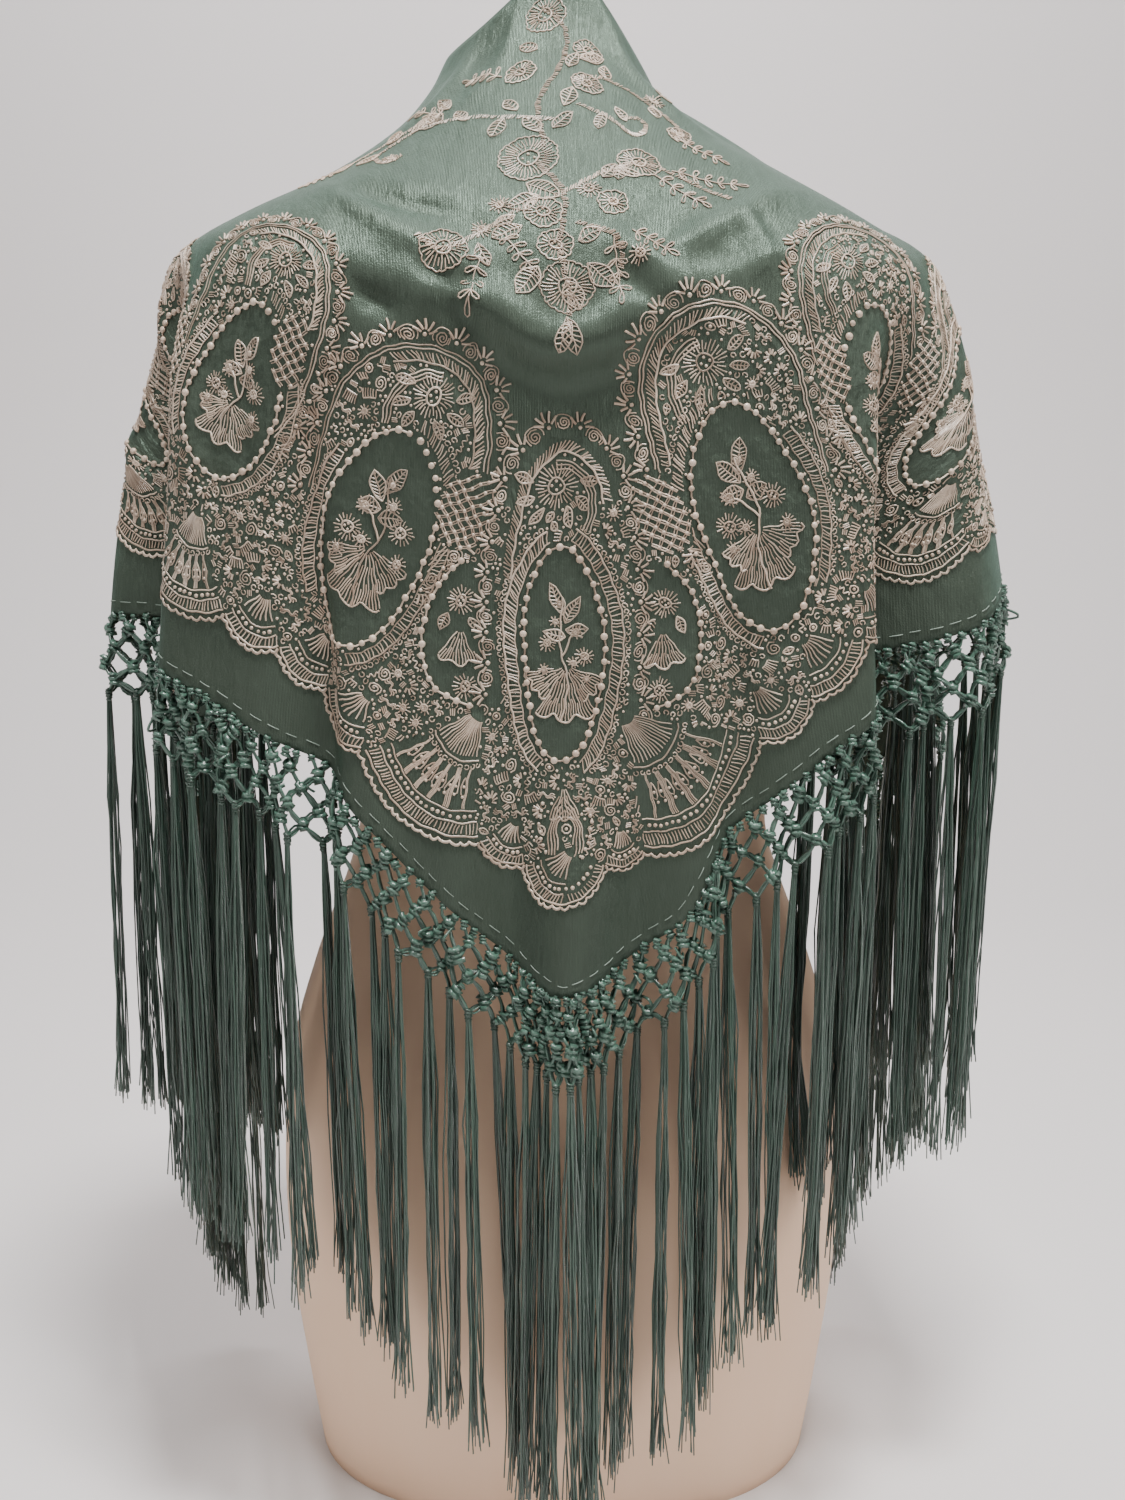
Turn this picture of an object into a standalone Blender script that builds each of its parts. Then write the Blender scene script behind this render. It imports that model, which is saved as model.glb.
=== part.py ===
"""A fringed flamenco shawl worn on a limbless dress form.

The shawl is one triangle of silk satin. Its long edge stands round the neck and falls down both
fronts, its corner hangs at the centre of the back, and a knotted net with silk tassels hangs from
its two short edges. The back, which the photograph shows, faces -Y. Metres and degrees, +Z up.
An angle round the body is 0 at the centre of the back, and grows towards +X and on to the front.
"""

import math
from collections import namedtuple

import bmesh
import bpy
import numpy as np

# The cloth, and the net and tassels that hang from it.
CLOTH_WALL = 0.0016
NET_DEPTH = 0.045
NET_WALL = 0.0016
SEAM_GAP = 0.0008
TASSELS_PER_SIDE = 60
TASSEL_LENGTH = 0.236
TASSEL_UNEVENNESS = 0.004
TASSEL_TOP_WIDTH = 0.0044
TASSEL_TIP_WIDTH = 0.0032

# A root's share of its tassel's stretch of net, and how much wider than it the tassel may be.
ROOT_SHARE = 0.40
ROOT_TO_TASSEL = 1.3

# Where the cloth ends in front, and how far it keeps from the form below the shoulders.
LEFT_EDGE_ANGLE = -109.0
RIGHT_EDGE_ANGLE = 118.0
NET_PARTING_ANGLE = 0.25
FORM_CLEARANCE = 0.0045

# Mesh counts. The fine steps only serve to measure along curves.
CLOTH_ROWS = 15
FORM_COLUMNS = 38
FORM_STEPS_PER_RING = 2
TASSEL_STEPS = 3
FINE_STEPS_PER_RING = 6
FINE_HEM_STEPS = 1200

SATIN_GREEN = (0.115, 0.185, 0.150, 1.0)
CORD_GREEN = (0.030, 0.075, 0.055, 1.0)
FORM_PEACH = (0.60, 0.44, 0.33, 1.0)

Ring = namedtuple("Ring", "left right back front squareness z_back z_left z_right z_front")

# The cloth's rings from the edge at the neck down to below the corner and the tips.
CLOTH_RINGS = (
    Ring(0.0620, 0.0490, 0.036, 0.054, 2.0, 0.833, 0.798, 0.782, 0.748),
    Ring(0.0720, 0.0570, 0.050, 0.060, 2.0, 0.797, 0.780, 0.769, 0.738),
    Ring(0.0920, 0.0820, 0.073, 0.076, 2.1, 0.766, 0.7575, 0.754, 0.718),
    Ring(0.1260, 0.1200, 0.101, 0.092, 2.2, 0.731, 0.7352, 0.735, 0.690),
    Ring(0.1700, 0.1600, 0.127, 0.104, 2.3, 0.697, 0.7155, 0.713, 0.655),
    Ring(0.1990, 0.1920, 0.142, 0.114, 2.4, 0.662, 0.698, 0.691, 0.620),
    Ring(0.2110, 0.2050, 0.144, 0.122, 2.5, 0.624, 0.670, 0.662, 0.585),
    Ring(0.2230, 0.2180, 0.139, 0.130, 2.6, 0.580, 0.630, 0.622, 0.545),
    Ring(0.2370, 0.2340, 0.137, 0.136, 2.6, 0.520, 0.570, 0.562, 0.495),
    Ring(0.2490, 0.2460, 0.139, 0.140, 2.6, 0.440, 0.500, 0.492, 0.430),
    Ring(0.2550, 0.2520, 0.144, 0.142, 2.6, 0.350, 0.400, 0.395, 0.350),
    Ring(0.2580, 0.2550, 0.147, 0.143, 2.6, 0.240, 0.260, 0.260, 0.240),
)

# The form's rings from its flat base up to the top of its neck stub.
FORM_RINGS = (
    Ring(0.1500, 0.1500, 0.099, 0.104, 2.3, 0.000, 0.000, 0.000, 0.000),
    Ring(0.1570, 0.1570, 0.106, 0.110, 2.3, 0.050, 0.050, 0.050, 0.050),
    Ring(0.1655, 0.1655, 0.116, 0.113, 2.2, 0.120, 0.120, 0.120, 0.120),
    Ring(0.1670, 0.1670, 0.118, 0.112, 2.2, 0.190, 0.190, 0.190, 0.190),
    Ring(0.1600, 0.1600, 0.110, 0.108, 2.2, 0.255, 0.255, 0.255, 0.255),
    Ring(0.1440, 0.1440, 0.096, 0.100, 2.2, 0.310, 0.310, 0.310, 0.310),
    Ring(0.1180, 0.1180, 0.083, 0.090, 2.2, 0.385, 0.385, 0.385, 0.385),
    Ring(0.1240, 0.1240, 0.086, 0.100, 2.2, 0.450, 0.450, 0.450, 0.450),
    Ring(0.1400, 0.1400, 0.097, 0.124, 2.2, 0.520, 0.520, 0.520, 0.520),
    Ring(0.1500, 0.1500, 0.110, 0.126, 2.2, 0.575, 0.575, 0.575, 0.580),
    Ring(0.1620, 0.1620, 0.121, 0.106, 2.2, 0.622, 0.628, 0.628, 0.640),
    Ring(0.1810, 0.1810, 0.129, 0.092, 2.2, 0.652, 0.663, 0.663, 0.672),
    Ring(0.1820, 0.1820, 0.126, 0.088, 2.2, 0.680, 0.6918, 0.6918, 0.686),
    Ring(0.1530, 0.1530, 0.114, 0.080, 2.2, 0.703, 0.7140, 0.7140, 0.704),
    Ring(0.1180, 0.1180, 0.096, 0.068, 2.1, 0.725, 0.7343, 0.7343, 0.720),
    Ring(0.0800, 0.0800, 0.072, 0.055, 2.0, 0.749, 0.7531, 0.7531, 0.740),
    Ring(0.0500, 0.0500, 0.051, 0.046, 2.0, 0.768, 0.7685, 0.7685, 0.756),
    Ring(0.0430, 0.0430, 0.036, 0.041, 2.0, 0.794, 0.7940, 0.7940, 0.794),
)

Fold = namedtuple("Fold", "name angle width depth starts full")

# The folds, as depths cut inwards (positive) or pushed outwards (negative), from the height
# where each one starts to the height where it has its full depth.
FOLDS = (
    Fold("left tip turned in", -114.0, 7.5, 0.048, 0.70, 0.40),
    Fold("left front tuck", -92.5, 6.0, 0.064, 0.66, 0.48),
    Fold("left side ridge", -82.5, 5.0, -0.008, 0.66, 0.56),
    Fold("left back tuck", -72.5, 5.6, 0.070, 0.70, 0.56),
    Fold("left back ridge", -63.5, 4.5, -0.007, 0.69, 0.62),
    Fold("left back trough", -44.0, 4.2, 0.016, 0.68, 0.46),
    Fold("left of the corner", -11.0, 6.0, 0.008, 0.50, 0.36),
    Fold("corner ridge", 1.5, 6.5, -0.010, 0.46, 0.34),
    Fold("right of the corner", 15.0, 7.0, 0.009, 0.50, 0.36),
    Fold("right back trough", 33.0, 5.0, 0.013, 0.60, 0.42),
    Fold("right back ridge", 51.0, 4.5, -0.007, 0.66, 0.58),
    Fold("right back tuck", 60.0, 5.6, 0.066, 0.68, 0.54),
    Fold("right side tuck", 92.5, 6.0, 0.056, 0.66, 0.48),
    Fold("right front tuck", 108.5, 5.6, 0.050, 0.67, 0.44),
    Fold("right tip turned in", 124.0, 6.5, 0.036, 0.70, 0.40),
)

HemPoint = namedtuple("HemPoint", "angle height")

# The height of the hem round the body: the corner at 0, both sides, and the two front tips.
HEM = (
    HemPoint(-109.0, 0.300),
    HemPoint(-101.0, 0.395),
    HemPoint(-93.0, 0.478),
    HemPoint(-84.0, 0.507),
    HemPoint(-75.0, 0.506),
    HemPoint(-61.0, 0.484),
    HemPoint(-43.0, 0.438),
    HemPoint(-22.0, 0.376),
    HemPoint(-5.0, 0.337),
    HemPoint(5.0, 0.336),
    HemPoint(22.0, 0.364),
    HemPoint(31.0, 0.402),
    HemPoint(47.0, 0.454),
    HemPoint(62.0, 0.490),
    HemPoint(82.0, 0.527),
    HemPoint(94.0, 0.500),
    HemPoint(107.0, 0.400),
    HemPoint(118.0, 0.310),
)


def catmull_rom(points, steps):
    """Points of a smooth curve through the given ones, along the first axis of the array."""
    points = np.asarray(points, float)
    ends = (2 * points[0] - points[1], 2 * points[-1] - points[-2])
    padded = np.concatenate([[ends[0]], points, [ends[1]]])
    found = []
    for before, start, end, after in zip(padded, padded[1:], padded[2:], padded[3:]):
        for share in np.arange(steps) / steps:
            found.append(
                start
                + 0.5 * share * (end - before)
                + share**2 * (before - 2.5 * start + 2 * end - 0.5 * after)
                + 0.5 * share**3 * (3 * start - 3 * end + after - before)
            )
    found.append(points[-1])
    return np.array(found)


def smooth_step(value, start, end):
    """0 at start, 1 at end, and smooth between."""
    share = np.clip((value - start) / (end - start), 0, 1)
    return share * share * (3 - 2 * share)


def ring_radius(ring, angles):
    """Distance from the axis to a ring, at angles in radians."""
    width = np.where(np.sin(angles) > 0, ring.right, ring.left)
    depth = np.where(np.cos(angles) > 0, ring.back, ring.front)
    across = np.abs(np.sin(angles) / width) ** ring.squareness
    along = np.abs(np.cos(angles) / depth) ** ring.squareness
    return (across + along) ** (-1 / ring.squareness)


def ring_points(ring, angles):
    """Points of a ring, whose height changes from the sides to the back and to the front."""
    radius = ring_radius(ring, angles)
    z_side = np.where(np.sin(angles) > 0, ring.z_right, ring.z_left)
    z_end = np.where(np.cos(angles) > 0, ring.z_back, ring.z_front)
    z = z_side + (z_end - z_side) * np.cos(angles) ** 2
    return np.stack([radius * np.sin(angles), -radius * np.cos(angles), z], axis=-1)


def loft(rings, angles, steps):
    """Smooth meridians through the rings: an array of rows by angles by 3."""
    return catmull_rom([ring_points(ring, angles) for ring in rings], steps)


def form_radius_at(angle, z):
    """The form's radius below its shoulders, where its rings are level."""
    level = [ring for ring in FORM_RINGS if ring.z_back == ring.z_left]
    heights = [ring.z_back for ring in level]
    radii = [float(ring_radius(ring, angle)) for ring in level]
    return np.interp(z, heights, radii)


def fold_depth(angles, z):
    """How far the folds take the cloth inwards, at angles in radians and heights z."""
    depth = np.zeros_like(z)
    for fold in FOLDS:
        bell = np.exp(-(((np.degrees(angles) - fold.angle) / fold.width) ** 2))
        depth = depth + fold.depth * bell * smooth_step(z, fold.starts, fold.full)
    return depth


def outwards(angles):
    """Level unit vectors pointing away from the axis."""
    return np.stack([np.sin(angles), -np.cos(angles), np.zeros_like(angles)], axis=-1)


def draped_meridians(angles):
    """The cloth's middle surface from the neck down, past the hem."""
    surface = loft(CLOTH_RINGS, angles, FINE_STEPS_PER_RING)
    grid = np.broadcast_to(angles, surface.shape[:2])
    depth = fold_depth(grid, surface[..., 2])
    return surface - depth[..., None] * outwards(grid)


def hem_height(angles):
    """The height of the hem at angles in radians."""
    table = catmull_rom(HEM, FINE_STEPS_PER_RING)
    return np.interp(np.degrees(angles), table[:, 0], table[:, 1])


def lengths_along(points):
    """Distances along a line of points, from its first one."""
    steps = np.linalg.norm(np.diff(points, axis=0), axis=1)
    return np.concatenate([[0], np.cumsum(steps)])


def cut_at_height(meridian, height):
    """The stretch of a falling meridian that lies above a height, ending on it."""
    below = int(np.argmax(meridian[:, 2] < height))
    upper, lower = meridian[below - 1], meridian[below]
    share = (upper[2] - height) / (upper[2] - lower[2])
    return np.vstack([meridian[:below], upper + share * (lower - upper)])


def resampled(points, shares):
    """Points at the given shares of a line's length."""
    along = lengths_along(points)
    return np.stack([np.interp(shares * along[-1], along, axis) for axis in points.T], axis=-1)


def hem_line(angles):
    """The cloth's lower edge at the given angles."""
    meridians = draped_meridians(angles)
    heights = hem_height(angles)
    return np.array(
        [cut_at_height(meridians[:, i], height)[-1] for i, height in enumerate(heights)]
    )


def tassel_angles(side):
    """Angles, in radians, of the tassels' borders, even along one folded hem edge."""
    front_edge = RIGHT_EDGE_ANGLE if side > 0 else LEFT_EDGE_ANGLE
    fine = np.radians(np.linspace(side * NET_PARTING_ANGLE, front_edge, FINE_HEM_STEPS + 1))
    along = lengths_along(hem_line(fine))
    return np.interp(np.linspace(0, along[-1], TASSELS_PER_SIDE + 1), along, fine)


def grid_mesh(name, grid):
    """An open surface through a grid of points."""
    rows, columns = grid.shape[:2]
    work = bmesh.new()
    points = [[work.verts.new(point) for point in row] for row in grid]
    for row in range(rows - 1):
        for column in range(columns - 1):
            work.faces.new(
                (
                    points[row][column],
                    points[row + 1][column],
                    points[row + 1][column + 1],
                    points[row][column + 1],
                )
            )
    mesh = bpy.data.meshes.new(name)
    work.to_mesh(mesh)
    work.free()
    return mesh


def add_object(name, mesh, collection, material):
    """A named object with its material and smooth shading."""
    mesh.materials.append(material)
    mesh.shade_smooth()
    made = bpy.data.objects.new(name, mesh)
    collection.objects.link(made)
    return made


def make_material(name, colour, roughness, sheen=0.0):
    """A plain finish in the part's colour."""
    material = bpy.data.materials.new(name)
    material.use_nodes = True
    shader = material.node_tree.nodes["Principled BSDF"]
    shader.inputs["Base Color"].default_value = colour
    shader.inputs["Roughness"].default_value = roughness
    shader.inputs["Metallic"].default_value = 0.0
    shader.inputs["Sheen Weight"].default_value = sheen
    return material


def build_silk_panel(collection, material):
    """The triangle of satin, folded round the shoulders, as a thin wall."""
    angles = np.concatenate([tassel_angles(-1)[::-1], tassel_angles(1)])
    meridians = draped_meridians(angles)
    heights = hem_height(angles)
    shares = np.linspace(0, 1, CLOTH_ROWS + 1)
    columns = [
        resampled(cut_at_height(meridians[:, i], height), shares)
        for i, height in enumerate(heights)
    ]
    mesh = grid_mesh("silk_panel", np.stack(columns, axis=1))
    panel = add_object("silk_panel", mesh, collection, material)
    wall = panel.modifiers.new("wall", "SOLIDIFY")
    wall.thickness = CLOTH_WALL
    wall.offset = 0.0
    return panel


def kept_clear(point, angle):
    """The point, moved out from the axis where it would reach the form."""
    radius = math.hypot(point[0], point[1])
    least = form_radius_at(angle, point[2]) + FORM_CLEARANCE
    scale = max(1.0, least / radius)
    return np.array([point[0] * scale, point[1] * scale, point[2]])


def fringe_frames(side):
    """Along one hem edge, from the corner to the front tip: the top points of the net's columns,
    a seam's gap below the hem, the directions across its wall, and the angles round the body.
    Each tassel has a border before it and two columns for its root."""
    borders = tassel_angles(side)
    line = hem_line(borders)
    gap = 0.5 * (1 - ROOT_SHARE)
    places = [i + share for i in range(TASSELS_PER_SIDE) for share in (0, gap, 1 - gap)]
    places.append(TASSELS_PER_SIDE)
    known = np.arange(TASSELS_PER_SIDE + 1)
    angles = np.interp(places, known, borders)
    points = np.stack([np.interp(places, known, axis) for axis in line.T], axis=-1)
    chords = np.diff(line, axis=0)
    chords /= np.linalg.norm(chords[:, :2], axis=1)[:, None]
    corners = np.concatenate([chords[:1], chords[1:] + chords[:-1], chords[-1:]])
    tangents = np.repeat(chords, 3, axis=0)
    tangents[::3] = corners[:-1]
    tangents = np.concatenate([tangents, corners[-1:]])
    level = np.linalg.norm(tangents[:, :2], axis=1)
    points[:, 2] -= SEAM_GAP * np.hypot(1, tangents[:, 2] / level)
    across = np.stack([tangents[:, 1], -tangents[:, 0], np.zeros(len(places))], axis=-1)
    across *= side / level[:, None]
    return points, across, angles


def tassel_rings(root, angle, length):
    """The corners of a tassel's sections, from below its root down to its tip."""
    centre = root.mean(axis=0)
    width = 0.5 * (root[1] + root[2] - root[0] - root[3])
    width[2] = 0
    fullness = min(1.0, ROOT_TO_TASSEL * np.linalg.norm(width) / TASSEL_TOP_WIDTH)
    width /= np.linalg.norm(width)
    depth = np.array([-width[1], width[0], 0])
    depth *= np.sign(np.dot(root[3] + root[2] - root[0] - root[1], depth))
    square = np.array([-width - depth, width - depth, width + depth, depth - width])
    rings = []
    for step in range(1, TASSEL_STEPS + 1):
        share = step / TASSEL_STEPS
        full_width = TASSEL_TOP_WIDTH + share * (TASSEL_TIP_WIDTH - TASSEL_TOP_WIDTH)
        middle = kept_clear(centre - np.array([0, 0, length * share]), angle)
        rings.append(middle + 0.5 * fullness * full_width * square)
    return rings


def add_tassel(work, root, rings):
    """A four-sided lock of silk that grows from the four corners of its root."""
    last = root
    for points in rings:
        ring = [work.verts.new(point) for point in points]
        for i in range(4):
            work.faces.new((last[i], last[i - 3], ring[i - 3], ring[i]))
        last = ring
    work.faces.new(last)


def build_fringe(name, side, collection, material):
    """The knotted net of one hem edge as a narrow strip, with its tassels grown from it."""
    points, across, angles = fringe_frames(side)
    work = bmesh.new()
    outer, inner = [], []
    for drop in (0.0, 0.5 * NET_DEPTH, NET_DEPTH):
        hung = [kept_clear(p - np.array([0, 0, drop]), angle) for p, angle in zip(points, angles)]
        outer.append([work.verts.new(p + 0.5 * NET_WALL * n) for p, n in zip(hung, across)])
        inner.append([work.verts.new(p - 0.5 * NET_WALL * n) for p, n in zip(hung, across)])
    last = len(points) - 1
    for i in range(last):
        for wall in (outer, inner):
            for upper, lower in zip(wall, wall[1:]):
                work.faces.new((upper[i], lower[i], lower[i + 1], upper[i + 1]))
        work.faces.new((outer[0][i], outer[0][i + 1], inner[0][i + 1], inner[0][i]))
        root = (outer[-1][i], outer[-1][i + 1], inner[-1][i + 1], inner[-1][i])
        if i % 3 != 1:
            work.faces.new(root)
            continue
        length = TASSEL_LENGTH + TASSEL_UNEVENNESS * math.sin(1.4 * i)
        corners = np.array([corner.co for corner in root])
        add_tassel(work, root, tassel_rings(corners, 0.5 * (angles[i] + angles[i + 1]), length))
    for end in (0, last):
        for row in range(len(outer) - 1):
            below = row + 1
            work.faces.new((outer[row][end], outer[below][end], inner[below][end], inner[row][end]))
    bmesh.ops.recalc_face_normals(work, faces=work.faces)
    mesh = bpy.data.meshes.new(name)
    work.to_mesh(mesh)
    work.free()
    return add_object(name, mesh, collection, material)


def build_dress_form(collection, material):
    """The smooth torso on its flat base, with a neck stub and no limbs."""
    angles = np.radians(np.arange(FORM_COLUMNS) * 360 / FORM_COLUMNS)
    levels = loft(FORM_RINGS, angles, FORM_STEPS_PER_RING)
    work = bmesh.new()
    rings = [[work.verts.new(point) for point in level] for level in levels]
    for lower, upper in zip(rings, rings[1:]):
        for i in range(FORM_COLUMNS):
            work.faces.new((lower[i - 1], lower[i], upper[i], upper[i - 1]))
    work.faces.new(rings[0])
    work.faces.new(rings[-1])
    bmesh.ops.recalc_face_normals(work, faces=work.faces)
    mesh = bpy.data.meshes.new("dress_form")
    work.to_mesh(mesh)
    work.free()
    return add_object("dress_form", mesh, collection, material)


def main():
    for old in list(bpy.data.objects):
        bpy.data.objects.remove(old)
    parts = bpy.data.collections.new("flamenco_shawl")
    bpy.context.scene.collection.children.link(parts)
    satin = make_material("satin", SATIN_GREEN, 0.38, sheen=0.3)
    cord = make_material("silk_cord", CORD_GREEN, 0.45, sheen=0.2)
    shell = make_material("form_shell", FORM_PEACH, 0.55)
    build_dress_form(parts, shell)
    build_silk_panel(parts, satin)
    build_fringe("fringe_left", -1, parts, cord)
    build_fringe("fringe_right", 1, parts, cord)


main()
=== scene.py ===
import math
from collections import namedtuple

import bpy
import numpy as np
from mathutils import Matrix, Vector
from mathutils.kdtree import KDTree


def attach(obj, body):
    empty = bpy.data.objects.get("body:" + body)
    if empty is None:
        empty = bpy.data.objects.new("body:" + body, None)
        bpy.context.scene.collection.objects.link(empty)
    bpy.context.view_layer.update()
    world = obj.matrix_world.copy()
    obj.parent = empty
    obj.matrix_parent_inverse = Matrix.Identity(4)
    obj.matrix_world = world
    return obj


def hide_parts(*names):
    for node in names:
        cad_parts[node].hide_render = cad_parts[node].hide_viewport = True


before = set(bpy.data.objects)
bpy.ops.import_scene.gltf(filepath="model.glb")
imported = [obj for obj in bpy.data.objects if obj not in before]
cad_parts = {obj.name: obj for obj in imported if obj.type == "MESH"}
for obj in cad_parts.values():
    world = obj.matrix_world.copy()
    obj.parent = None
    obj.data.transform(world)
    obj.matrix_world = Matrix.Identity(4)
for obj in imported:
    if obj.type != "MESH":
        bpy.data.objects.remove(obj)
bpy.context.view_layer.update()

# The dress form is a limbless torso, blow-moulded in matte peach plastic with a flat base.
# Its shell stands for the solid one and is lofted through the same rings with more points.

Ring = namedtuple("Ring", "left right back front squareness z_back z_left z_right z_front")


def rings_of(*rows):
    """Rings from rows of their values, with lengths in millimetres."""
    return [Ring(*(v if i == 4 else v / 1000 for i, v in enumerate(row))) for row in rows]


FORM_RINGS = rings_of(
    (150, 150, 99, 104, 2.3, 0, 0, 0, 0),
    (157, 157, 106, 110, 2.3, 50, 50, 50, 50),
    (165.5, 165.5, 116, 113, 2.2, 120, 120, 120, 120),
    (167, 167, 118, 112, 2.2, 190, 190, 190, 190),
    (160, 160, 110, 108, 2.2, 255, 255, 255, 255),
    (144, 144, 96, 100, 2.2, 310, 310, 310, 310),
    (118, 118, 83, 90, 2.2, 385, 385, 385, 385),
    (124, 124, 86, 100, 2.2, 450, 450, 450, 450),
    (140, 140, 97, 124, 2.2, 520, 520, 520, 520),
    (150, 150, 110, 126, 2.2, 575, 575, 575, 580),
    (162, 162, 121, 106, 2.2, 622, 628, 628, 640),
    (181, 181, 129, 92, 2.2, 652, 663, 663, 672),
    (182, 182, 126, 88, 2.2, 680, 691.8, 691.8, 686),
    (153, 153, 114, 80, 2.2, 703, 714, 714, 704),
    (118, 118, 96, 68, 2.1, 725, 734.3, 734.3, 720),
    (80, 80, 72, 55, 2.0, 749, 753.1, 753.1, 740),
    (50, 50, 51, 46, 2.0, 768, 768.5, 768.5, 756),
    (43, 43, 36, 41, 2.0, 794, 794, 794, 794),
)
FORM_COLUMNS = 112
FORM_STEPS_PER_RING = 5


def catmull_rom(points, steps):
    """Points of a smooth curve through the given ones, along the first axis of the array."""
    points = np.asarray(points, float)
    ends = (2 * points[0] - points[1], 2 * points[-1] - points[-2])
    padded = np.concatenate([[ends[0]], points, [ends[1]]])
    found = []
    for before, start, end, after in zip(padded, padded[1:], padded[2:], padded[3:]):
        for share in np.arange(steps) / steps:
            found.append(
                start
                + 0.5 * share * (end - before)
                + share**2 * (before - 2.5 * start + 2 * end - 0.5 * after)
                + 0.5 * share**3 * (3 * start - 3 * end + after - before)
            )
    found.append(points[-1])
    return np.array(found)


def ring_radius(ring, angles):
    """Distance from the axis to a ring, at angles in radians."""
    width = np.where(np.sin(angles) > 0, ring.right, ring.left)
    depth = np.where(np.cos(angles) > 0, ring.back, ring.front)
    across = np.abs(np.sin(angles) / width) ** ring.squareness
    along = np.abs(np.cos(angles) / depth) ** ring.squareness
    return (across + along) ** (-1 / ring.squareness)


def ring_points(ring, angles):
    """Points of a ring, whose height changes from the sides to the back and to the front."""
    radius = ring_radius(ring, angles)
    z_side = np.where(np.sin(angles) > 0, ring.z_right, ring.z_left)
    z_end = np.where(np.cos(angles) > 0, ring.z_back, ring.z_front)
    z = z_side + (z_end - z_side) * np.cos(angles) ** 2
    return np.stack([radius * np.sin(angles), -radius * np.cos(angles), z], axis=-1)


def loft(rings, angles, steps):
    """Smooth meridians through the rings: an array of rows by angles by 3."""
    return catmull_rom([ring_points(ring, angles) for ring in rings], steps)


class Socket:
    """An output of a shader's node, which takes part in plain arithmetic."""

    def __init__(self, finish, socket):
        self.finish = finish
        self.socket = socket

    def maths(self, operation, *values):
        return self.finish.node("ShaderNodeMath", {"operation": operation}, dict(enumerate(values)))

    def __add__(self, other):
        return self.maths("ADD", self, other)

    def __mul__(self, other):
        return self.maths("MULTIPLY", self, other)

    __radd__ = __add__
    __rmul__ = __mul__


class Finish:
    """A material and the nodes behind its surface."""

    def __init__(self, name, **constants):
        self.material = bpy.data.materials.new(name)
        self.material.use_nodes = True
        self.tree = self.material.node_tree
        self.surface = self.tree.nodes["Principled BSDF"]
        for socket, value in constants.items():
            self.surface.inputs[socket.replace("_", " ")].default_value = value

    def node(self, kind, settings=None, sockets=None, output=0):
        made = self.tree.nodes.new(kind)
        for name, value in (settings or {}).items():
            setattr(made, name, value)
        for name, value in (sockets or {}).items():
            self.join(made.inputs[name], value)
        return Socket(self, made.outputs[output])

    def join(self, target, value):
        if isinstance(value, Socket):
            self.tree.links.new(value.socket, target)
        else:
            target.default_value = value

    def place(self, output="Object"):
        return self.node("ShaderNodeTexCoord", output=output)

    def noise(self, place, scale, detail=3.0):
        sockets = {"Vector": place, "Scale": scale, "Detail": detail}
        return self.node("ShaderNodeTexNoise", None, sockets)

    def stretched(self, place, scale, turn=0.0):
        sockets = {"Vector": place, "Scale": scale, "Rotation": (0.0, 0.0, turn)}
        return self.node("ShaderNodeMapping", None, sockets)

    def stored(self, name):
        return self.node("ShaderNodeAttribute", {"attribute_name": name}, output=2)

    def mix(self, factor, *colours):
        sockets = {0: factor}
        for place, colour in zip((6, 7), colours):
            sockets[place] = (*colour, 1.0) if isinstance(colour, tuple) else colour
        return self.node("ShaderNodeMix", {"data_type": "RGBA"}, sockets, 2)

    def feed(self, name, value):
        self.join(self.surface.inputs[name], value)

    def bump(self, height, distance, strength=1.0):
        sockets = {"Height": height, "Distance": distance, "Strength": strength}
        self.feed("Normal", self.node("ShaderNodeBump", None, sockets))


def form_finish():
    """Matte peach plastic, a little uneven in tone, with the fine grain of its mould."""
    made = Finish("matte_peach_plastic", IOR=1.46, Specular_IOR_Level=0.35)
    place = made.place()
    mottling = made.noise(place, 9.0, 4.0)
    flow = made.noise(made.stretched(place, (14.0, 14.0, 2.5)), 3.0, 2.0)
    grain = made.noise(place, 1400.0, 2.0)
    tone = made.mix(mottling, (0.760, 0.510, 0.345), (0.825, 0.585, 0.415))
    made.feed("Base Color", made.mix(flow * 0.35, tone, (0.840, 0.640, 0.500)))
    made.feed("Roughness", 0.50 + 0.16 * mottling)
    made.bump(grain * 0.5 + flow * 0.5, 0.00025, 0.5)
    return made.material


def object_of(name, mesh, material):
    """A smooth object with its material, in the scene."""
    mesh.materials.clear()
    mesh.materials.append(material)
    mesh.shade_smooth()
    made = bpy.data.objects.new(name, mesh)
    bpy.context.scene.collection.objects.link(made)
    return made


def quads(*corners):
    """Four-sided faces, from grids of the numbers of their corners."""
    return np.stack(corners, axis=-1).reshape(-1, 4).tolist()


form_angles = np.radians(np.arange(FORM_COLUMNS) * 360 / FORM_COLUMNS - 180)
form_grid = loft(FORM_RINGS, form_angles, FORM_STEPS_PER_RING)
numbers = np.arange(len(form_grid) * FORM_COLUMNS).reshape(-1, FORM_COLUMNS)
after = np.roll(numbers, -1, axis=1)
form_faces = quads(numbers[:-1], after[:-1], after[1:], numbers[1:])
form_faces += [numbers[0, ::-1].tolist(), numbers[-1].tolist()]
form_mesh = bpy.data.meshes.new("dress_form_shell")
form_mesh.from_pydata(form_grid.reshape(-1, 3).tolist(), [], form_faces)
form_shell = object_of("dress_form_shell", form_mesh, form_finish())
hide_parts("dress_form")
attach(form_shell, "root")

# The shawl is one triangle of silk satin, narrow-hemmed on all three edges. Its long edge stands
# round the neck and falls down both fronts, and its corner hangs at the centre of the back.
# Places on it are given across from its centre line and down from its neck edge, in metres.

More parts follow.
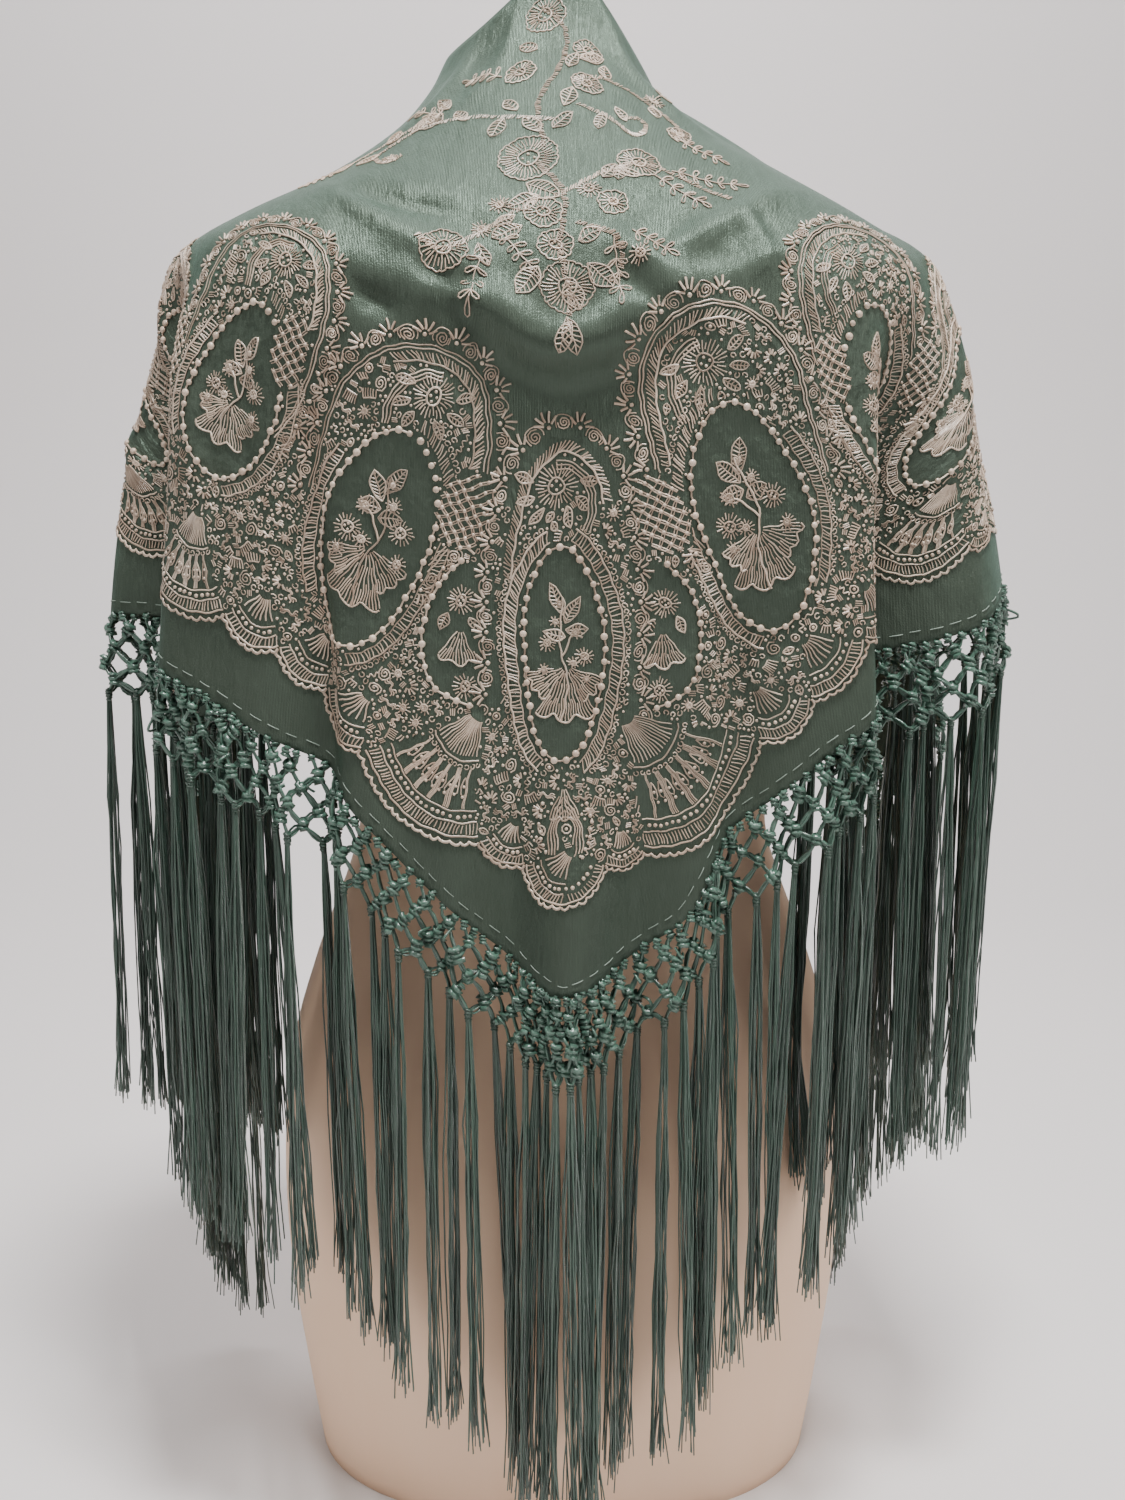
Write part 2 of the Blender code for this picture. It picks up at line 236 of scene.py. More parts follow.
CLOTH_RINGS = rings_of(
    (62, 49, 36, 54, 2.0, 833, 798, 782, 748),
    (72, 57, 50, 60, 2.0, 797, 780, 769, 738),
    (92, 82, 73, 76, 2.1, 766, 757.5, 754, 718),
    (126, 120, 101, 92, 2.2, 731, 735.2, 735, 690),
    (170, 160, 127, 104, 2.3, 697, 715.5, 713, 655),
    (199, 192, 142, 114, 2.4, 662, 698, 691, 620),
    (211, 205, 144, 122, 2.5, 624, 670, 662, 585),
    (223, 218, 139, 130, 2.6, 580, 630, 622, 545),
    (237, 234, 137, 136, 2.6, 520, 570, 562, 495),
    (249, 246, 139, 140, 2.6, 440, 500, 492, 430),
    (255, 252, 144, 142, 2.6, 350, 400, 395, 350),
    (258, 255, 147, 143, 2.6, 240, 260, 260, 240),
)
Fold = namedtuple("Fold", "name angle width depth starts full")
FOLDS = (
    Fold("left tip turned in", -114.0, 7.5, 0.048, 0.70, 0.40),
    Fold("left front tuck", -92.5, 6.0, 0.064, 0.66, 0.48),
    Fold("left side ridge", -82.5, 5.0, -0.008, 0.66, 0.56),
    Fold("left back tuck", -72.5, 5.6, 0.070, 0.70, 0.56),
    Fold("left back ridge", -63.5, 4.5, -0.007, 0.69, 0.62),
    Fold("left back trough", -44.0, 4.2, 0.016, 0.68, 0.46),
    Fold("left of the corner", -11.0, 6.0, 0.008, 0.50, 0.36),
    Fold("corner ridge", 1.5, 6.5, -0.010, 0.46, 0.34),
    Fold("right of the corner", 15.0, 7.0, 0.009, 0.50, 0.36),
    Fold("right back trough", 33.0, 5.0, 0.013, 0.60, 0.42),
    Fold("right back ridge", 51.0, 4.5, -0.007, 0.66, 0.58),
    Fold("right back tuck", 60.0, 5.6, 0.066, 0.68, 0.54),
    Fold("right side tuck", 92.5, 6.0, 0.056, 0.66, 0.48),
    Fold("right front tuck", 108.5, 5.6, 0.050, 0.67, 0.44),
    Fold("right tip turned in", 124.0, 6.5, 0.036, 0.70, 0.40),
)
HEM = (
    (-109, 0.3), (-101, 0.395), (-93, 0.478), (-84, 0.507), (-75, 0.506), (-61, 0.484), (-43, 0.438),
    (-22, 0.376), (-5, 0.337), (5, 0.336), (22, 0.364), (31, 0.402), (47, 0.454), (62, 0.49),
    (82, 0.527), (94, 0.5), (107, 0.4), (118, 0.31),
)
LEFT_EDGE_ANGLE = -109.0
RIGHT_EDGE_ANGLE = 118.0
FINE_STEPS_PER_RING = 6
CHART_COLUMNS = 900
CHART_STEP = 0.0015
CHART_ACROSS = np.arange(-0.640, 0.660, CHART_STEP)
CHART_DOWN = np.arange(0.0, 0.600, CHART_STEP)
CLOTH_COLUMNS = 310
CLOTH_ROWS = 106
CLOTH_WALL = 0.0010

# Creases: each one's width, its depth, above zero where it stands out, and the places that it
# runs through, across and down, all in millimetres.
CREASES = (
    (10.5, 8.5, (-78, 194), (-37, 207), (-10, 225), (17, 222), (40, 206), (74, 192)),
    (17, -9, (-72, 222), (-30, 238), (0, 250), (32, 241), (74, 222)),
    (5.6, -3, (-112, 136), (-78, 152), (-44, 160)),
    (4.8, -4.6, (-68, 189), (-50, 198), (-32, 199)),
    (5, -4.2, (-60, 205), (-46, 212), (-34, 224)),
    (6, -4.8, (-104, 196), (-90, 204), (-72, 212)),
    (5, -4.6, (26, 195), (44, 206), (64, 203)),
    (6, 4, (22, 168), (34, 184), (54, 192)),
    (6, -3.8, (62, 148), (50, 170), (45, 188)),
    (5, -4.2, (36, 218), (50, 219), (66, 214)),
    (6, 3, (78, 150), (90, 170), (94, 196)),
    (6, 3, (-125, 128), (-78, 170), (-34, 192)),
    (7, -1.6, (-98, 132), (-58, 160), (-18, 178)),
    (6.5, 3.4, (118, 122), (70, 166), (24, 190)),
    (5.5, 2.4, (140, 150), (98, 182), (60, 196)),
    (8, -1.5, (90, 120), (46, 152), (8, 168)),
    (7, 2.6, (-52, 10), (-66, 52), (-94, 88)),
    (6, 1.8, (-24, 4), (-30, 40), (-52, 78)),
    (8, 3, (30, 6), (44, 46), (78, 80)),
    (6, 2.2, (62, 12), (86, 54), (118, 82)),
    (7, 3, (-178, 190), (-186, 260), (-182, 350)),
    (6, -2.2, (-150, 200), (-156, 262), (-150, 318)),
    (9, 3, (-106, 252), (-112, 330), (-104, 430)),
    (11, -2.6, (-78, 300), (-82, 380), (-80, 470)),
    (8, 2.4, (-50, 380), (-56, 430), (-58, 500)),
    (9, -2, (-26, 300), (-30, 370), (-24, 440)),
    (8, 2.2, (30, 350), (34, 420), (28, 500)),
    (11, 2.6, (52, 250), (56, 330), (62, 400)),
    (7, -3, (82, 330), (92, 400), (98, 450)),
    (8, 3, (110, 220), (116, 300), (118, 400)),
    (6, -2.4, (132, 180), (128, 240), (130, 310)),
    (4.5, 2, (94, 382), (104, 372), (122, 376)),
    (9, 4, (-240, 130), (-252, 200), (-268, 290)),
    (8, 3, (-318, 200), (-336, 280), (-340, 350)),
    (9, -3, (-380, 190), (-420, 290), (-442, 370)),
    (8, 3.2, (-430, 250), (-486, 350), (-520, 430)),
    (8, 3.6, (196, 140), (236, 220), (262, 320)),
    (9, -2.6, (262, 180), (292, 260), (318, 330)),
    (9, 3.8, (300, 160), (350, 250), (372, 330)),
    (8, -3, (356, 180), (430, 280), (470, 380)),
    (9, 3.4, (420, 230), (500, 340), (550, 440)),
)


def smooth_step(value, start, end):
    """0 at start, 1 at end, and smooth between."""
    share = np.clip((value - start) / (end - start), 0, 1)
    return share * share * (3 - 2 * share)


def outwards(angles):
    """Level unit vectors pointing away from the axis."""
    return np.stack([np.sin(angles), -np.cos(angles), np.zeros_like(angles)], axis=-1)


def draped_meridians(angles):
    """The cloth from the neck down, past the hem, with its large folds."""
    surface = loft(CLOTH_RINGS, angles, FINE_STEPS_PER_RING)
    grid = np.broadcast_to(angles, surface.shape[:2])
    depth = np.zeros(grid.shape)
    for fold in FOLDS:
        bell = np.exp(-(((np.degrees(grid) - fold.angle) / fold.width) ** 2))
        depth += fold.depth * bell * smooth_step(surface[..., 2], fold.starts, fold.full)
    return surface - depth[..., None] * outwards(grid)


def read_off(wanted, known, points):
    """Points of a line at wanted places, from those at known ones."""
    return np.stack([np.interp(wanted, known, axis) for axis in points.T], axis=-1)


def lengths_along(points):
    """Distances along a line of points, from its first one."""
    steps = np.linalg.norm(np.diff(points, axis=0), axis=1)
    return np.concatenate([[0], np.cumsum(steps)])


def shares_along(points):
    """Distances along a line of points as shares of its length."""
    along = lengths_along(points)
    return along / along[-1]


def crossing_length(meridian, height):
    """How far down a meridian its height is reached."""
    along = lengths_along(meridian)
    below = int(np.argmax(meridian[:, 2] < height))
    upper, lower = meridian[below - 1, 2], meridian[below, 2]
    share = (upper - height) / (upper - lower)
    return along[below - 1] + share * (along[below] - along[below - 1])


def bell_along(places, width, across, down):
    """1 on a line through places, falling off across its width and towards its ends."""
    line = catmull_rom(places, 8)
    shares = shares_along(line)
    best = np.full(across.shape, 9.0)
    share_at = np.zeros(across.shape)
    for start, end, first, last in zip(line, line[1:], shares, shares[1:]):
        step = end - start
        to_across = across - start[0]
        to_down = down - start[1]
        part = (to_across * step[0] + to_down * step[1]) / np.dot(step, step)
        part = np.clip(part, 0, 1)
        distance = np.hypot(to_across - part * step[0], to_down - part * step[1])
        nearer = distance < best
        best = np.where(nearer, distance, best)
        share_at = np.where(nearer, first + part * (last - first), share_at)
    ends = np.sin(math.pi * np.clip(share_at, 0.0, 1.0)) ** 0.8
    return np.exp(-((best / width) ** 2)) * ends


chart_angles = np.radians(np.linspace(LEFT_EDGE_ANGLE, RIGHT_EDGE_ANGLE, CHART_COLUMNS))
meridians = draped_meridians(chart_angles)
hem_table = catmull_rom(HEM, FINE_STEPS_PER_RING)
hem_heights = np.interp(np.degrees(chart_angles), hem_table[:, 0], hem_table[:, 1])
hem_down = np.array([crossing_length(meridians[:, i], z) for i, z in enumerate(hem_heights)])
level_rows = np.empty((len(CHART_DOWN), CHART_COLUMNS, 3))
for column in range(CHART_COLUMNS):
    meridian = meridians[:, column]
    level_rows[:, column] = read_off(CHART_DOWN, lengths_along(meridian), meridian)
row_steps = np.linalg.norm(np.diff(level_rows, axis=1), axis=2)
row_across = np.concatenate([np.zeros((len(CHART_DOWN), 1)), np.cumsum(row_steps, axis=1)], axis=1)
centre_column = int(np.argmin(np.abs(chart_angles)))
row_across -= row_across[:, centre_column : centre_column + 1]

smooth_chart = np.empty((len(CHART_DOWN), len(CHART_ACROSS), 3))
for row, known in enumerate(row_across):
    smooth_chart[row] = read_off(CHART_ACROSS, known, level_rows[row])


def chart_normals(chart):
    """Outward unit vectors of a chart of points."""
    down_step = np.gradient(chart, axis=0)
    across_step = np.gradient(chart, axis=1)
    normal = np.cross(down_step, across_step)
    length = np.linalg.norm(normal, axis=2, keepdims=True)
    return normal / np.maximum(length, 1e-12)


def chart_window(low, high):
    """The part of a chart between two corners, across and down."""
    rows = slice(*np.searchsorted(CHART_DOWN, (low[1], high[1])))
    return rows, slice(*np.searchsorted(CHART_ACROSS, (low[0], high[0])))


chart_grid_across, chart_grid_down = np.meshgrid(CHART_ACROSS, CHART_DOWN)
crease_height = np.zeros(chart_grid_across.shape)
for width, depth, *places in CREASES:
    width, depth = width / 1000, depth / 1000
    places = np.array(places) / 1000
    reach = 3.2 * width
    window = chart_window(places.min(axis=0) - reach, places.max(axis=0) + reach)
    bell = bell_along(places, width, chart_grid_across[window], chart_grid_down[window])
    crease_height[window] += depth * bell
cloth_chart = smooth_chart + crease_height[..., None] * chart_normals(smooth_chart)
cloth_normals = chart_normals(cloth_chart)


def looked_up(chart, places):
    """Values of a chart at places across and down."""
    across = (places[:, 0] - CHART_ACROSS[0]) / CHART_STEP
    down = places[:, 1] / CHART_STEP
    across = np.clip(across, 0, len(CHART_ACROSS) - 1.001)
    down = np.clip(down, 0, len(CHART_DOWN) - 1.001)
    column, row = across.astype(int), down.astype(int)
    right = (across - column)[:, None]
    under = (down - row)[:, None]
    above = chart[row, column] * (1 - right) + chart[row, column + 1] * right
    below = chart[row + 1, column] * (1 - right) + chart[row + 1, column + 1] * right
    return above * (1 - under) + below * under


def on_cloth(places, lift=0.0):
    """Points on the cloth, lifted off it by a length for each place."""
    places = np.asarray(places, float)
    lift = np.broadcast_to(lift, len(places))[:, None]
    return looked_up(cloth_chart, places) + lift * looked_up(cloth_normals, places)


def satin_finish():
    """Sage green silk satin: a fine warp-faced weave, a soft tinted sheen and slight rumples."""
    made = Finish(
        "sage_silk_satin",
        Metallic=0.42,
        Sheen_Weight=0.08,
        Sheen_Roughness=0.35,
        Sheen_Tint=(0.40, 0.78, 0.62, 1.0),
        Specular_IOR_Level=0.45,
        Specular_Tint=(0.55, 0.95, 0.80, 1.0),
        IOR=1.45,
    )
    cloth = made.place("UV")
    tone = made.noise(made.stretched(cloth, (9.0, 14.0, 1.0)), 1.6, 4.0)
    slub = made.noise(made.stretched(cloth, (2600.0, 90.0, 1.0)), 1.0, 2.0)
    grain = made.noise(made.stretched(cloth, (1500.0, 1100.0, 1.0)), 1.0, 1.0)
    rumple = made.noise(made.stretched(cloth, (30.0, 20.0, 1.0), 0.5), 1.0, 3.0)
    crush = made.noise(made.stretched(cloth, (95.0, 40.0, 1.0), -0.4), 1.0, 3.0)
    worked = made.stored("worked")
    pucker = made.noise(made.stretched(cloth, (140.0, 95.0, 1.0), 0.3), 1.0, 2.0) * worked
    warp = made.node("ShaderNodeTexWave", None, {"Vector": cloth, "Scale": 420.0, "Distortion": 0.6})
    shade = made.mix(tone, (0.028, 0.035, 0.026), (0.072, 0.089, 0.069))
    woven = made.mix(slub * 0.50, shade, (0.116, 0.146, 0.118))
    made.feed("Base Color", made.mix(grain * 0.55, woven, (0.048, 0.061, 0.047)))
    made.feed("Roughness", 0.30 + 0.12 * slub + 0.08 * tone)
    rumples = rumple * 0.75 + crush * 0.35 + pucker * 0.60
    made.bump(rumples + warp * 0.03 + grain * 0.05 + slub * 0.03, 0.0050, 0.75)
    return made.material


def across_at(angle, down):
    """How far across the meridian at an angle in radians is, at places down it."""
    position = np.interp(angle, chart_angles, np.arange(CHART_COLUMNS))
    left = min(int(position), CHART_COLUMNS - 2)
    near, far = (np.interp(down, CHART_DOWN, row_across[:, left + step]) for step in (0, 1))
    return near + (position - left) * (far - near)


cloth_angles = np.radians(np.linspace(LEFT_EDGE_ANGLE, RIGHT_EDGE_ANGLE, CLOTH_COLUMNS))
cloth_places = np.empty((CLOTH_ROWS + 1, CLOTH_COLUMNS, 2))
for column, angle in enumerate(cloth_angles):
    downs = np.linspace(0, np.interp(angle, chart_angles, hem_down), CLOTH_ROWS + 1)
    cloth_places[:, column, 0] = across_at(angle, downs)
    cloth_places[:, column, 1] = downs
flat_places = cloth_places.reshape(-1, 2)
numbers = np.arange(len(flat_places)).reshape(-1, CLOTH_COLUMNS)
cloth_faces = quads(numbers[:-1, :-1], numbers[1:, :-1], numbers[1:, 1:], numbers[:-1, 1:])
cloth_mesh = bpy.data.meshes.new("silk_satin")
cloth_mesh.from_pydata(on_cloth(flat_places).tolist(), [], cloth_faces)
cloth_map = cloth_mesh.uv_layers.new(name="UVMap")
corner_points = np.empty(len(cloth_mesh.loops), dtype=np.int64)
cloth_mesh.loops.foreach_get("vertex_index", corner_points)
cloth_map.data.foreach_set("uv", flat_places[corner_points].ravel())
silk_satin = object_of("silk_satin", cloth_mesh, satin_finish())
wall = silk_satin.modifiers.new("wall", "SOLIDIFY")
wall.thickness = CLOTH_WALL
wall.offset = 0.0
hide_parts("silk_panel")
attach(silk_satin, "root")

# The two short edges are turned twice and held by a pale running stitch, 6 mm above the edge.
# Each stitch is a short strand that dips into the cloth at both ends.

STITCH_ABOVE_EDGE = 0.0062
STITCH_LENGTH = 0.0066
STITCH_PITCH = 0.0102
STITCH_RADIUS = 0.00028

# Shares of a stitch's length, each with its height above the middle of the cloth.
STITCH_SHAPE = ((0.0, 0.0002), (0.15, 0.0007), (0.5, 0.0009), (0.85, 0.0007), (1.0, 0.0002))
HEM_SAMPLES = 1400


def tree_for(name, inputs):
    """A new Geometry Nodes tree with named inputs, its start and its end."""
    tree = bpy.data.node_groups.new(name, "GeometryNodeTree")
    face = tree.interface
    face.new_socket(name="Paths", in_out="INPUT", socket_type="NodeSocketGeometry")
    for label, kind in inputs.items():
        face.new_socket(name=label, in_out="INPUT", socket_type="NodeSocket" + kind)
    face.new_socket(name="Strands", in_out="OUTPUT", socket_type="NodeSocketGeometry")
    return tree, tree.nodes.new("NodeGroupInput"), tree.nodes.new("NodeGroupOutput")


def added(tree, kind, sockets=None, **settings):
    """The first output of a new node, after its settings and its sockets' values or links."""
    made = tree.nodes.new(kind)
    for name, value in settings.items():
        setattr(made, name, value)
    for name, value in (sockets or {}).items():
        if isinstance(value, bpy.types.NodeSocket):
            tree.links.new(value, made.inputs[name])
        else:
            made.inputs[name].default_value = value
    return made.outputs[0]


def attribute(tree, name, kind="FLOAT"):
    """The output of a node that reads a point's stored value."""
    return added(tree, "GeometryNodeInputNamedAttribute", {"Name": name}, data_type=kind)


def ended(tree, geometry, start, end):
    """Closes a tree with real, smooth geometry in its material."""
    real = added(tree, "GeometryNodeRealizeInstances", {"Geometry": geometry})
    smooth = added(tree, "GeometryNodeSetShadeSmooth", {"Geometry": real})
    sockets = {"Geometry": smooth, "Material": start.outputs["Material"]}
    coloured = added(tree, "GeometryNodeSetMaterial", sockets)
    tree.links.new(coloured, end.inputs[0])


def strands_tree():
    """Tubes along chains of edges, as thick at each point as its stored radius says."""
    tree, start, end = tree_for("strands_on_paths", {"Sides": "Int", "Material": "Material"})
    curves = added(tree, "GeometryNodeMeshToCurve", {"Mesh": start.outputs["Paths"]})
    sockets = {"Curve": curves, "Radius": attribute(tree, "radius")}
    sized = added(tree, "GeometryNodeSetCurveRadius", sockets)
    sockets = {"Resolution": start.outputs["Sides"], "Radius": 1.0}
    profile = added(tree, "GeometryNodeCurvePrimitiveCircle", sockets)
    sockets = {"Curve": sized, "Profile Curve": profile, "Fill Caps": True}
    tubes = added(tree, "GeometryNodeCurveToMesh", sockets)
    scale = tubes.node.inputs.get("Scale")
    if scale:
        tree.links.new(attribute(tree, "radius"), scale)
    ended(tree, tubes, start, end)
    return tree


STRANDS = strands_tree()


def plain_mesh(name, mesh, tree, inputs):
    """The result of a tree on a mesh, as a plain mesh."""
    carrier = bpy.data.objects.new(name, mesh)
    bpy.context.scene.collection.objects.link(carrier)
    modifier = carrier.modifiers.new("made", "NODES")
    modifier.node_group = tree
    for item in tree.interface.items_tree:
        if item.in_out == "INPUT" and item.name in inputs:
            modifier[item.identifier] = inputs[item.name]
    ready = carrier.evaluated_get(bpy.context.evaluated_depsgraph_get())
    result = bpy.data.meshes.new_from_object(ready)
    carrier.modifiers.remove(modifier)
    bpy.data.objects.remove(carrier)
    result.name = name
    return result


def store(mesh, name, values):
    """A number for each point of a mesh."""
    mesh.attributes.new(name, "FLOAT", "POINT").data.foreach_set("value", np.asarray(values, float))


def strands(name, paths, radii, material, sides=4):
    """One piece of strands along paths in space, each with one radius or one for each point.

    Every strand has a tone of its own between 0 and 1, as silk takes dye and light unevenly.
    """
    counts = [len(path) for path in paths]
    firsts = np.concatenate([[0], np.cumsum(counts)])
    edges = [(i, i + 1) for f, n in zip(firsts, counts) for i in range(f, f + n - 1)]
    mesh = bpy.data.meshes.new(name)
    mesh.from_pydata(np.concatenate(paths).tolist(), edges, [])
    store(mesh, "radius", np.concatenate([np.broadcast_to(r, n) for r, n in zip(radii, counts)]))
    tones = np.random.default_rng(len(paths)).uniform(0, 1, len(paths))
    store(mesh, "tone", np.repeat(tones, counts))
    result = plain_mesh(name, mesh, STRANDS, {"Sides": sides, "Material": material})
    return object_of(name, result, material)


def thread_finish(name, dark, light, warm, roughness):
    """Spun silk thread whose dye is a little uneven along it."""
    made = Finish(name, Sheen_Weight=0.12, Sheen_Roughness=0.35, Specular_IOR_Level=0.85)
    place = made.place()
    strand_tone = made.stored("tone")
    dye = strand_tone * 0.65 + made.noise(place, 55.0, 3.0) * 0.35
    plies = made.noise(made.stretched(place, (900.0, 900.0, 500.0)), 1.0, 2.0)
    warmth = made.noise(place, 16.0, 2.0)
    tone = made.mix(dye, dark, light)
    tinted = made.mix(warmth * warmth, tone, warm)
    made.feed("Base Color", made.mix(plies * 0.40, tinted, dark))
    made.feed("Roughness", roughness + 0.15 * plies)
    made.bump(plies, 0.0004, 0.6)
    return made.material


def hem_place(angle):
    """The place of the hem at an angle in radians, across and down."""
    down = np.interp(angle, chart_angles, hem_down)
    return across_at(angle, down), down


hem_angles = np.radians(np.linspace(LEFT_EDGE_ANGLE, RIGHT_EDGE_ANGLE, HEM_SAMPLES))
hem_places = np.array([hem_place(angle) for angle in hem_angles])
hem_points = on_cloth(hem_places)
hem_lengths = lengths_along(hem_points)
stitch_paths = []
stitch_shares, stitch_lifts = np.array(STITCH_SHAPE).T
stitch_starts = np.arange(0.004, hem_lengths[-1] - STITCH_LENGTH, STITCH_PITCH)
for number, start in enumerate(stitch_starts):
    length = STITCH_LENGTH * (1 + 0.12 * math.sin(2.4 * number))
    places = read_off(start + length * stitch_shares, hem_lengths, hem_places)
    slope = np.gradient(places, axis=0)
    slope /= np.linalg.norm(slope, axis=1)[:, None]
    inwards = np.stack([slope[:, 1], -slope[:, 0]], axis=-1)
    places = places + inwards * (STITCH_ABOVE_EDGE + 0.0003 * math.sin(3.7 * number))
    stitch_paths.append(on_cloth(places, stitch_lifts))
hem_thread = thread_finish(
    "pale_hem_thread", (0.110, 0.150, 0.125), (0.220, 0.290, 0.240), (0.240, 0.300, 0.250), 0.45
)
hem_stitches = strands(
    "hem_stitches", stitch_paths, [STITCH_RADIUS] * len(stitch_paths), hem_thread
)
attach(hem_stitches, "root")

# The embroidery is worked by hand in pale silk on the bare triangle. Couched cord outlines each
# figure, thinner stitches fill it, and wound knots stand on it like beads. The figures are the
# traditional ones of such shawls: paisleys, rosettes, fans, lattices, shells and a neck garland.

BARE_MARGIN = 0.013
THREAD = 0.00036
CORD = 0.00056
EDGE_CORD = 0.00082
STOUT_THREAD = THREAD * 1.2
FINE_CORD = CORD * 0.85
PETAL = 0.00068
BEAD = 0.00168
BEAD_FLATNESS = 0.72
SEED = 0.0011
PIN_KNOT = 0.0008
EYE_KNOT = 0.0009
RING_KNOT = 0.0010
FLOWER_KNOT = 0.0012
FINEST_CORD = 0.0005
SMALLEST_BEAD = 0.0014
LONGEST_STEP = 0.004
WALKED_STEP = 0.0026
HALF_WALL = CLOTH_WALL / 2

# These are in the millimetres of a figure at full size.
DROP_POINTS = 9
LATTICE_PITCH = 4.2
FLOWER_PITCH = 15.0
PAISLEY_BAND = (3.8, 9.2)
RING_ROW = 11.3
ROOM = 12.5
CROWN_REACH = 10.5
LARGE_SHELL = 45.0

Figure = namedtuple("Figure", "centre turn size side", defaults=(0.0, 1.0, 1))


def turned(points, degrees, shift=(0.0, 0.0)):
    """Points turned clockwise about their origin and then moved."""
    turn = math.radians(degrees)
    points = np.asarray(points, float)
    across = points[:, 0] * math.cos(turn) + points[:, 1] * math.sin(turn)
    up = points[:, 1] * math.cos(turn) - points[:, 0] * math.sin(turn)
    return np.stack([across + shift[0], up + shift[1]], axis=-1)


def placed(figure, points):
    """Places on the cloth for a figure's own points, which are in millimetres, x across, y up."""
    across, up = turned(np.asarray(points, float) * 0.001 * figure.size, figure.turn).T
    return np.stack([figure.side * (figure.centre[0] + across), figure.centre[1] - up], axis=-1)


def inside_outline(outline, across, down):
    """Which places lie inside a closed outline."""
    found = np.zeros(across.shape, bool)
    for start, end in zip(outline, np.roll(outline, -1, axis=0)):
        spans = (start[1] > down) != (end[1] > down)
        rise = end[1] - start[1] if end[1] != start[1] else 1e-12
        crossing = start[0] + (down - start[1]) / rise * (end[0] - start[0])
        found ^= spans & (across < crossing)
    return found


sewn_threads = []
sewn_knots = []
held = chart_grid_across > row_across[:, -1:] - BARE_MARGIN
held |= chart_grid_across < row_across[:, :1] + BARE_MARGIN
fenced = np.zeros(held.shape, bool)


def hold(outline, fence=False):
    """Keeps later figures off the inside of an outline, or off it for a while with a fence."""
    outline = np.asarray(outline)
    window = chart_window(outline.min(axis=0), outline.max(axis=0))
    inside = inside_outline(outline, chart_grid_across[window], chart_grid_down[window])
    (fenced if fence else held)[window] |= inside


def is_free(places):
    """Which places are off the bare margins and off what earlier figures hold."""
    column = np.rint((places[:, 0] - CHART_ACROSS[0]) / CHART_STEP).astype(int)
    row = np.rint(places[:, 1] / CHART_STEP).astype(int)
    column = np.clip(column, 0, len(CHART_ACROSS) - 1)
    row = np.clip(row, 0, len(CHART_DOWN) - 1)
    return ~(held | fenced)[row, column]


def sew(figure, points, radius=THREAD):
    """A thread through a figure's points, which skips taken places; where any is taken, the run after
    the last taken place is left out.
    """
    places = placed(figure, points)
    free = is_free(places)
    if free.all():
        sewn_threads.append((places, radius))
        return
    run = []
    for place, clear in zip(places, free):
        if clear:
            run.append(place)
            continue
        if len(run) > 1:
            sewn_threads.append((np.array(run), radius))
        run = []


def knot(figure, points, size=SEED):
    """A wound knot on each of a figure's points where the cloth is free."""
    places = placed(figure, points)
    sewn_knots.extend((place, size) for place in places[is_free(places)])


def oval(half_width, half_length, count=48, start=0.0, end=360.0):
    """Points of an ellipse, clockwise from its top."""
    angles = np.radians(np.linspace(start, end, count + 1))
    return np.stack([half_width * np.sin(angles), half_length * np.cos(angles)], axis=-1)


def evenly(path, pitch):
    """Points at an even pitch along a path."""
    along = lengths_along(path)
    count = max(2, int(round(along[-1] / pitch)))
    steps = np.linspace(0, along[-1], count + 1)
    return read_off(steps, along, path)


def lay(figure, path, radius, step=2.4):
    """A thread or cord laid in even steps along a path."""
    sew(figure, evenly(path, step), radius)


def beside(path, distance):
    """A path moved to its left by a distance."""
    slope = np.gradient(path, axis=0)
    slope /= np.maximum(np.linalg.norm(slope, axis=1)[:, None], 1e-9)
    return path + distance * np.stack([-slope[:, 1], slope[:, 0]], axis=-1)


def rosette(figure, shift, reach):
    """A round flower: close stitches out from a ring, with knots in its middle."""
    count = max(9, int(2 * math.pi * reach / 2.15))
    for number in range(count):
        angle = 2 * math.pi * number / count
        far = reach * (0.80 + 0.20 * abs(math.cos(4 * angle)))
        near = reach * (0.40 if number % 2 else 0.56)
        way = np.array([math.sin(angle), math.cos(angle)])
        sew(figure, turned([near * way, far * way], 0, shift))
    sew(figure, turned(oval(0.36 * reach, 0.36 * reach, 12), 0, shift), CORD)
    knot(figure, turned(oval(0.19 * reach, 0.19 * reach, 4), 0, shift), PIN_KNOT)


def spiral(figure, shift, reach, start=0.0):
    """A disc of cord laid in turns."""
    shares = np.linspace(0.08, 1, 20)
    angles = start + shares * 2.4 * 2 * math.pi
    path = (reach * shares)[:, None] * np.stack([np.sin(angles), np.cos(angles)], axis=-1)
    sew(figure, turned(path, 0, shift), THREAD * 1.15)


def drop_loop(length, width):
    """A closed loop like a drop, from its base up to its round end."""
    shares = np.linspace(0, 2 * math.pi, DROP_POINTS)
    across = 0.5 * width * np.sin(shares) * np.sin(shares / 2)
    return np.stack([across, length * 0.5 * (1 - np.cos(shares))], axis=-1)


def fan_flower(figure, shift, turn, reach, petals=6, spread=150.0):
    """Petals of plump single stitches that open from one point."""
    for number in range(petals):
        lean = turn - spread / 2 + spread * number / (petals - 1)
        length = reach * (1 - 0.16 * abs(2 * number / (petals - 1) - 1))
        line = [(0, 0.34 * length), (0, 0.6 * length), (0, 0.86 * length), (0, length)]
        sew(figure, turned(line, lean, shift), PETAL)


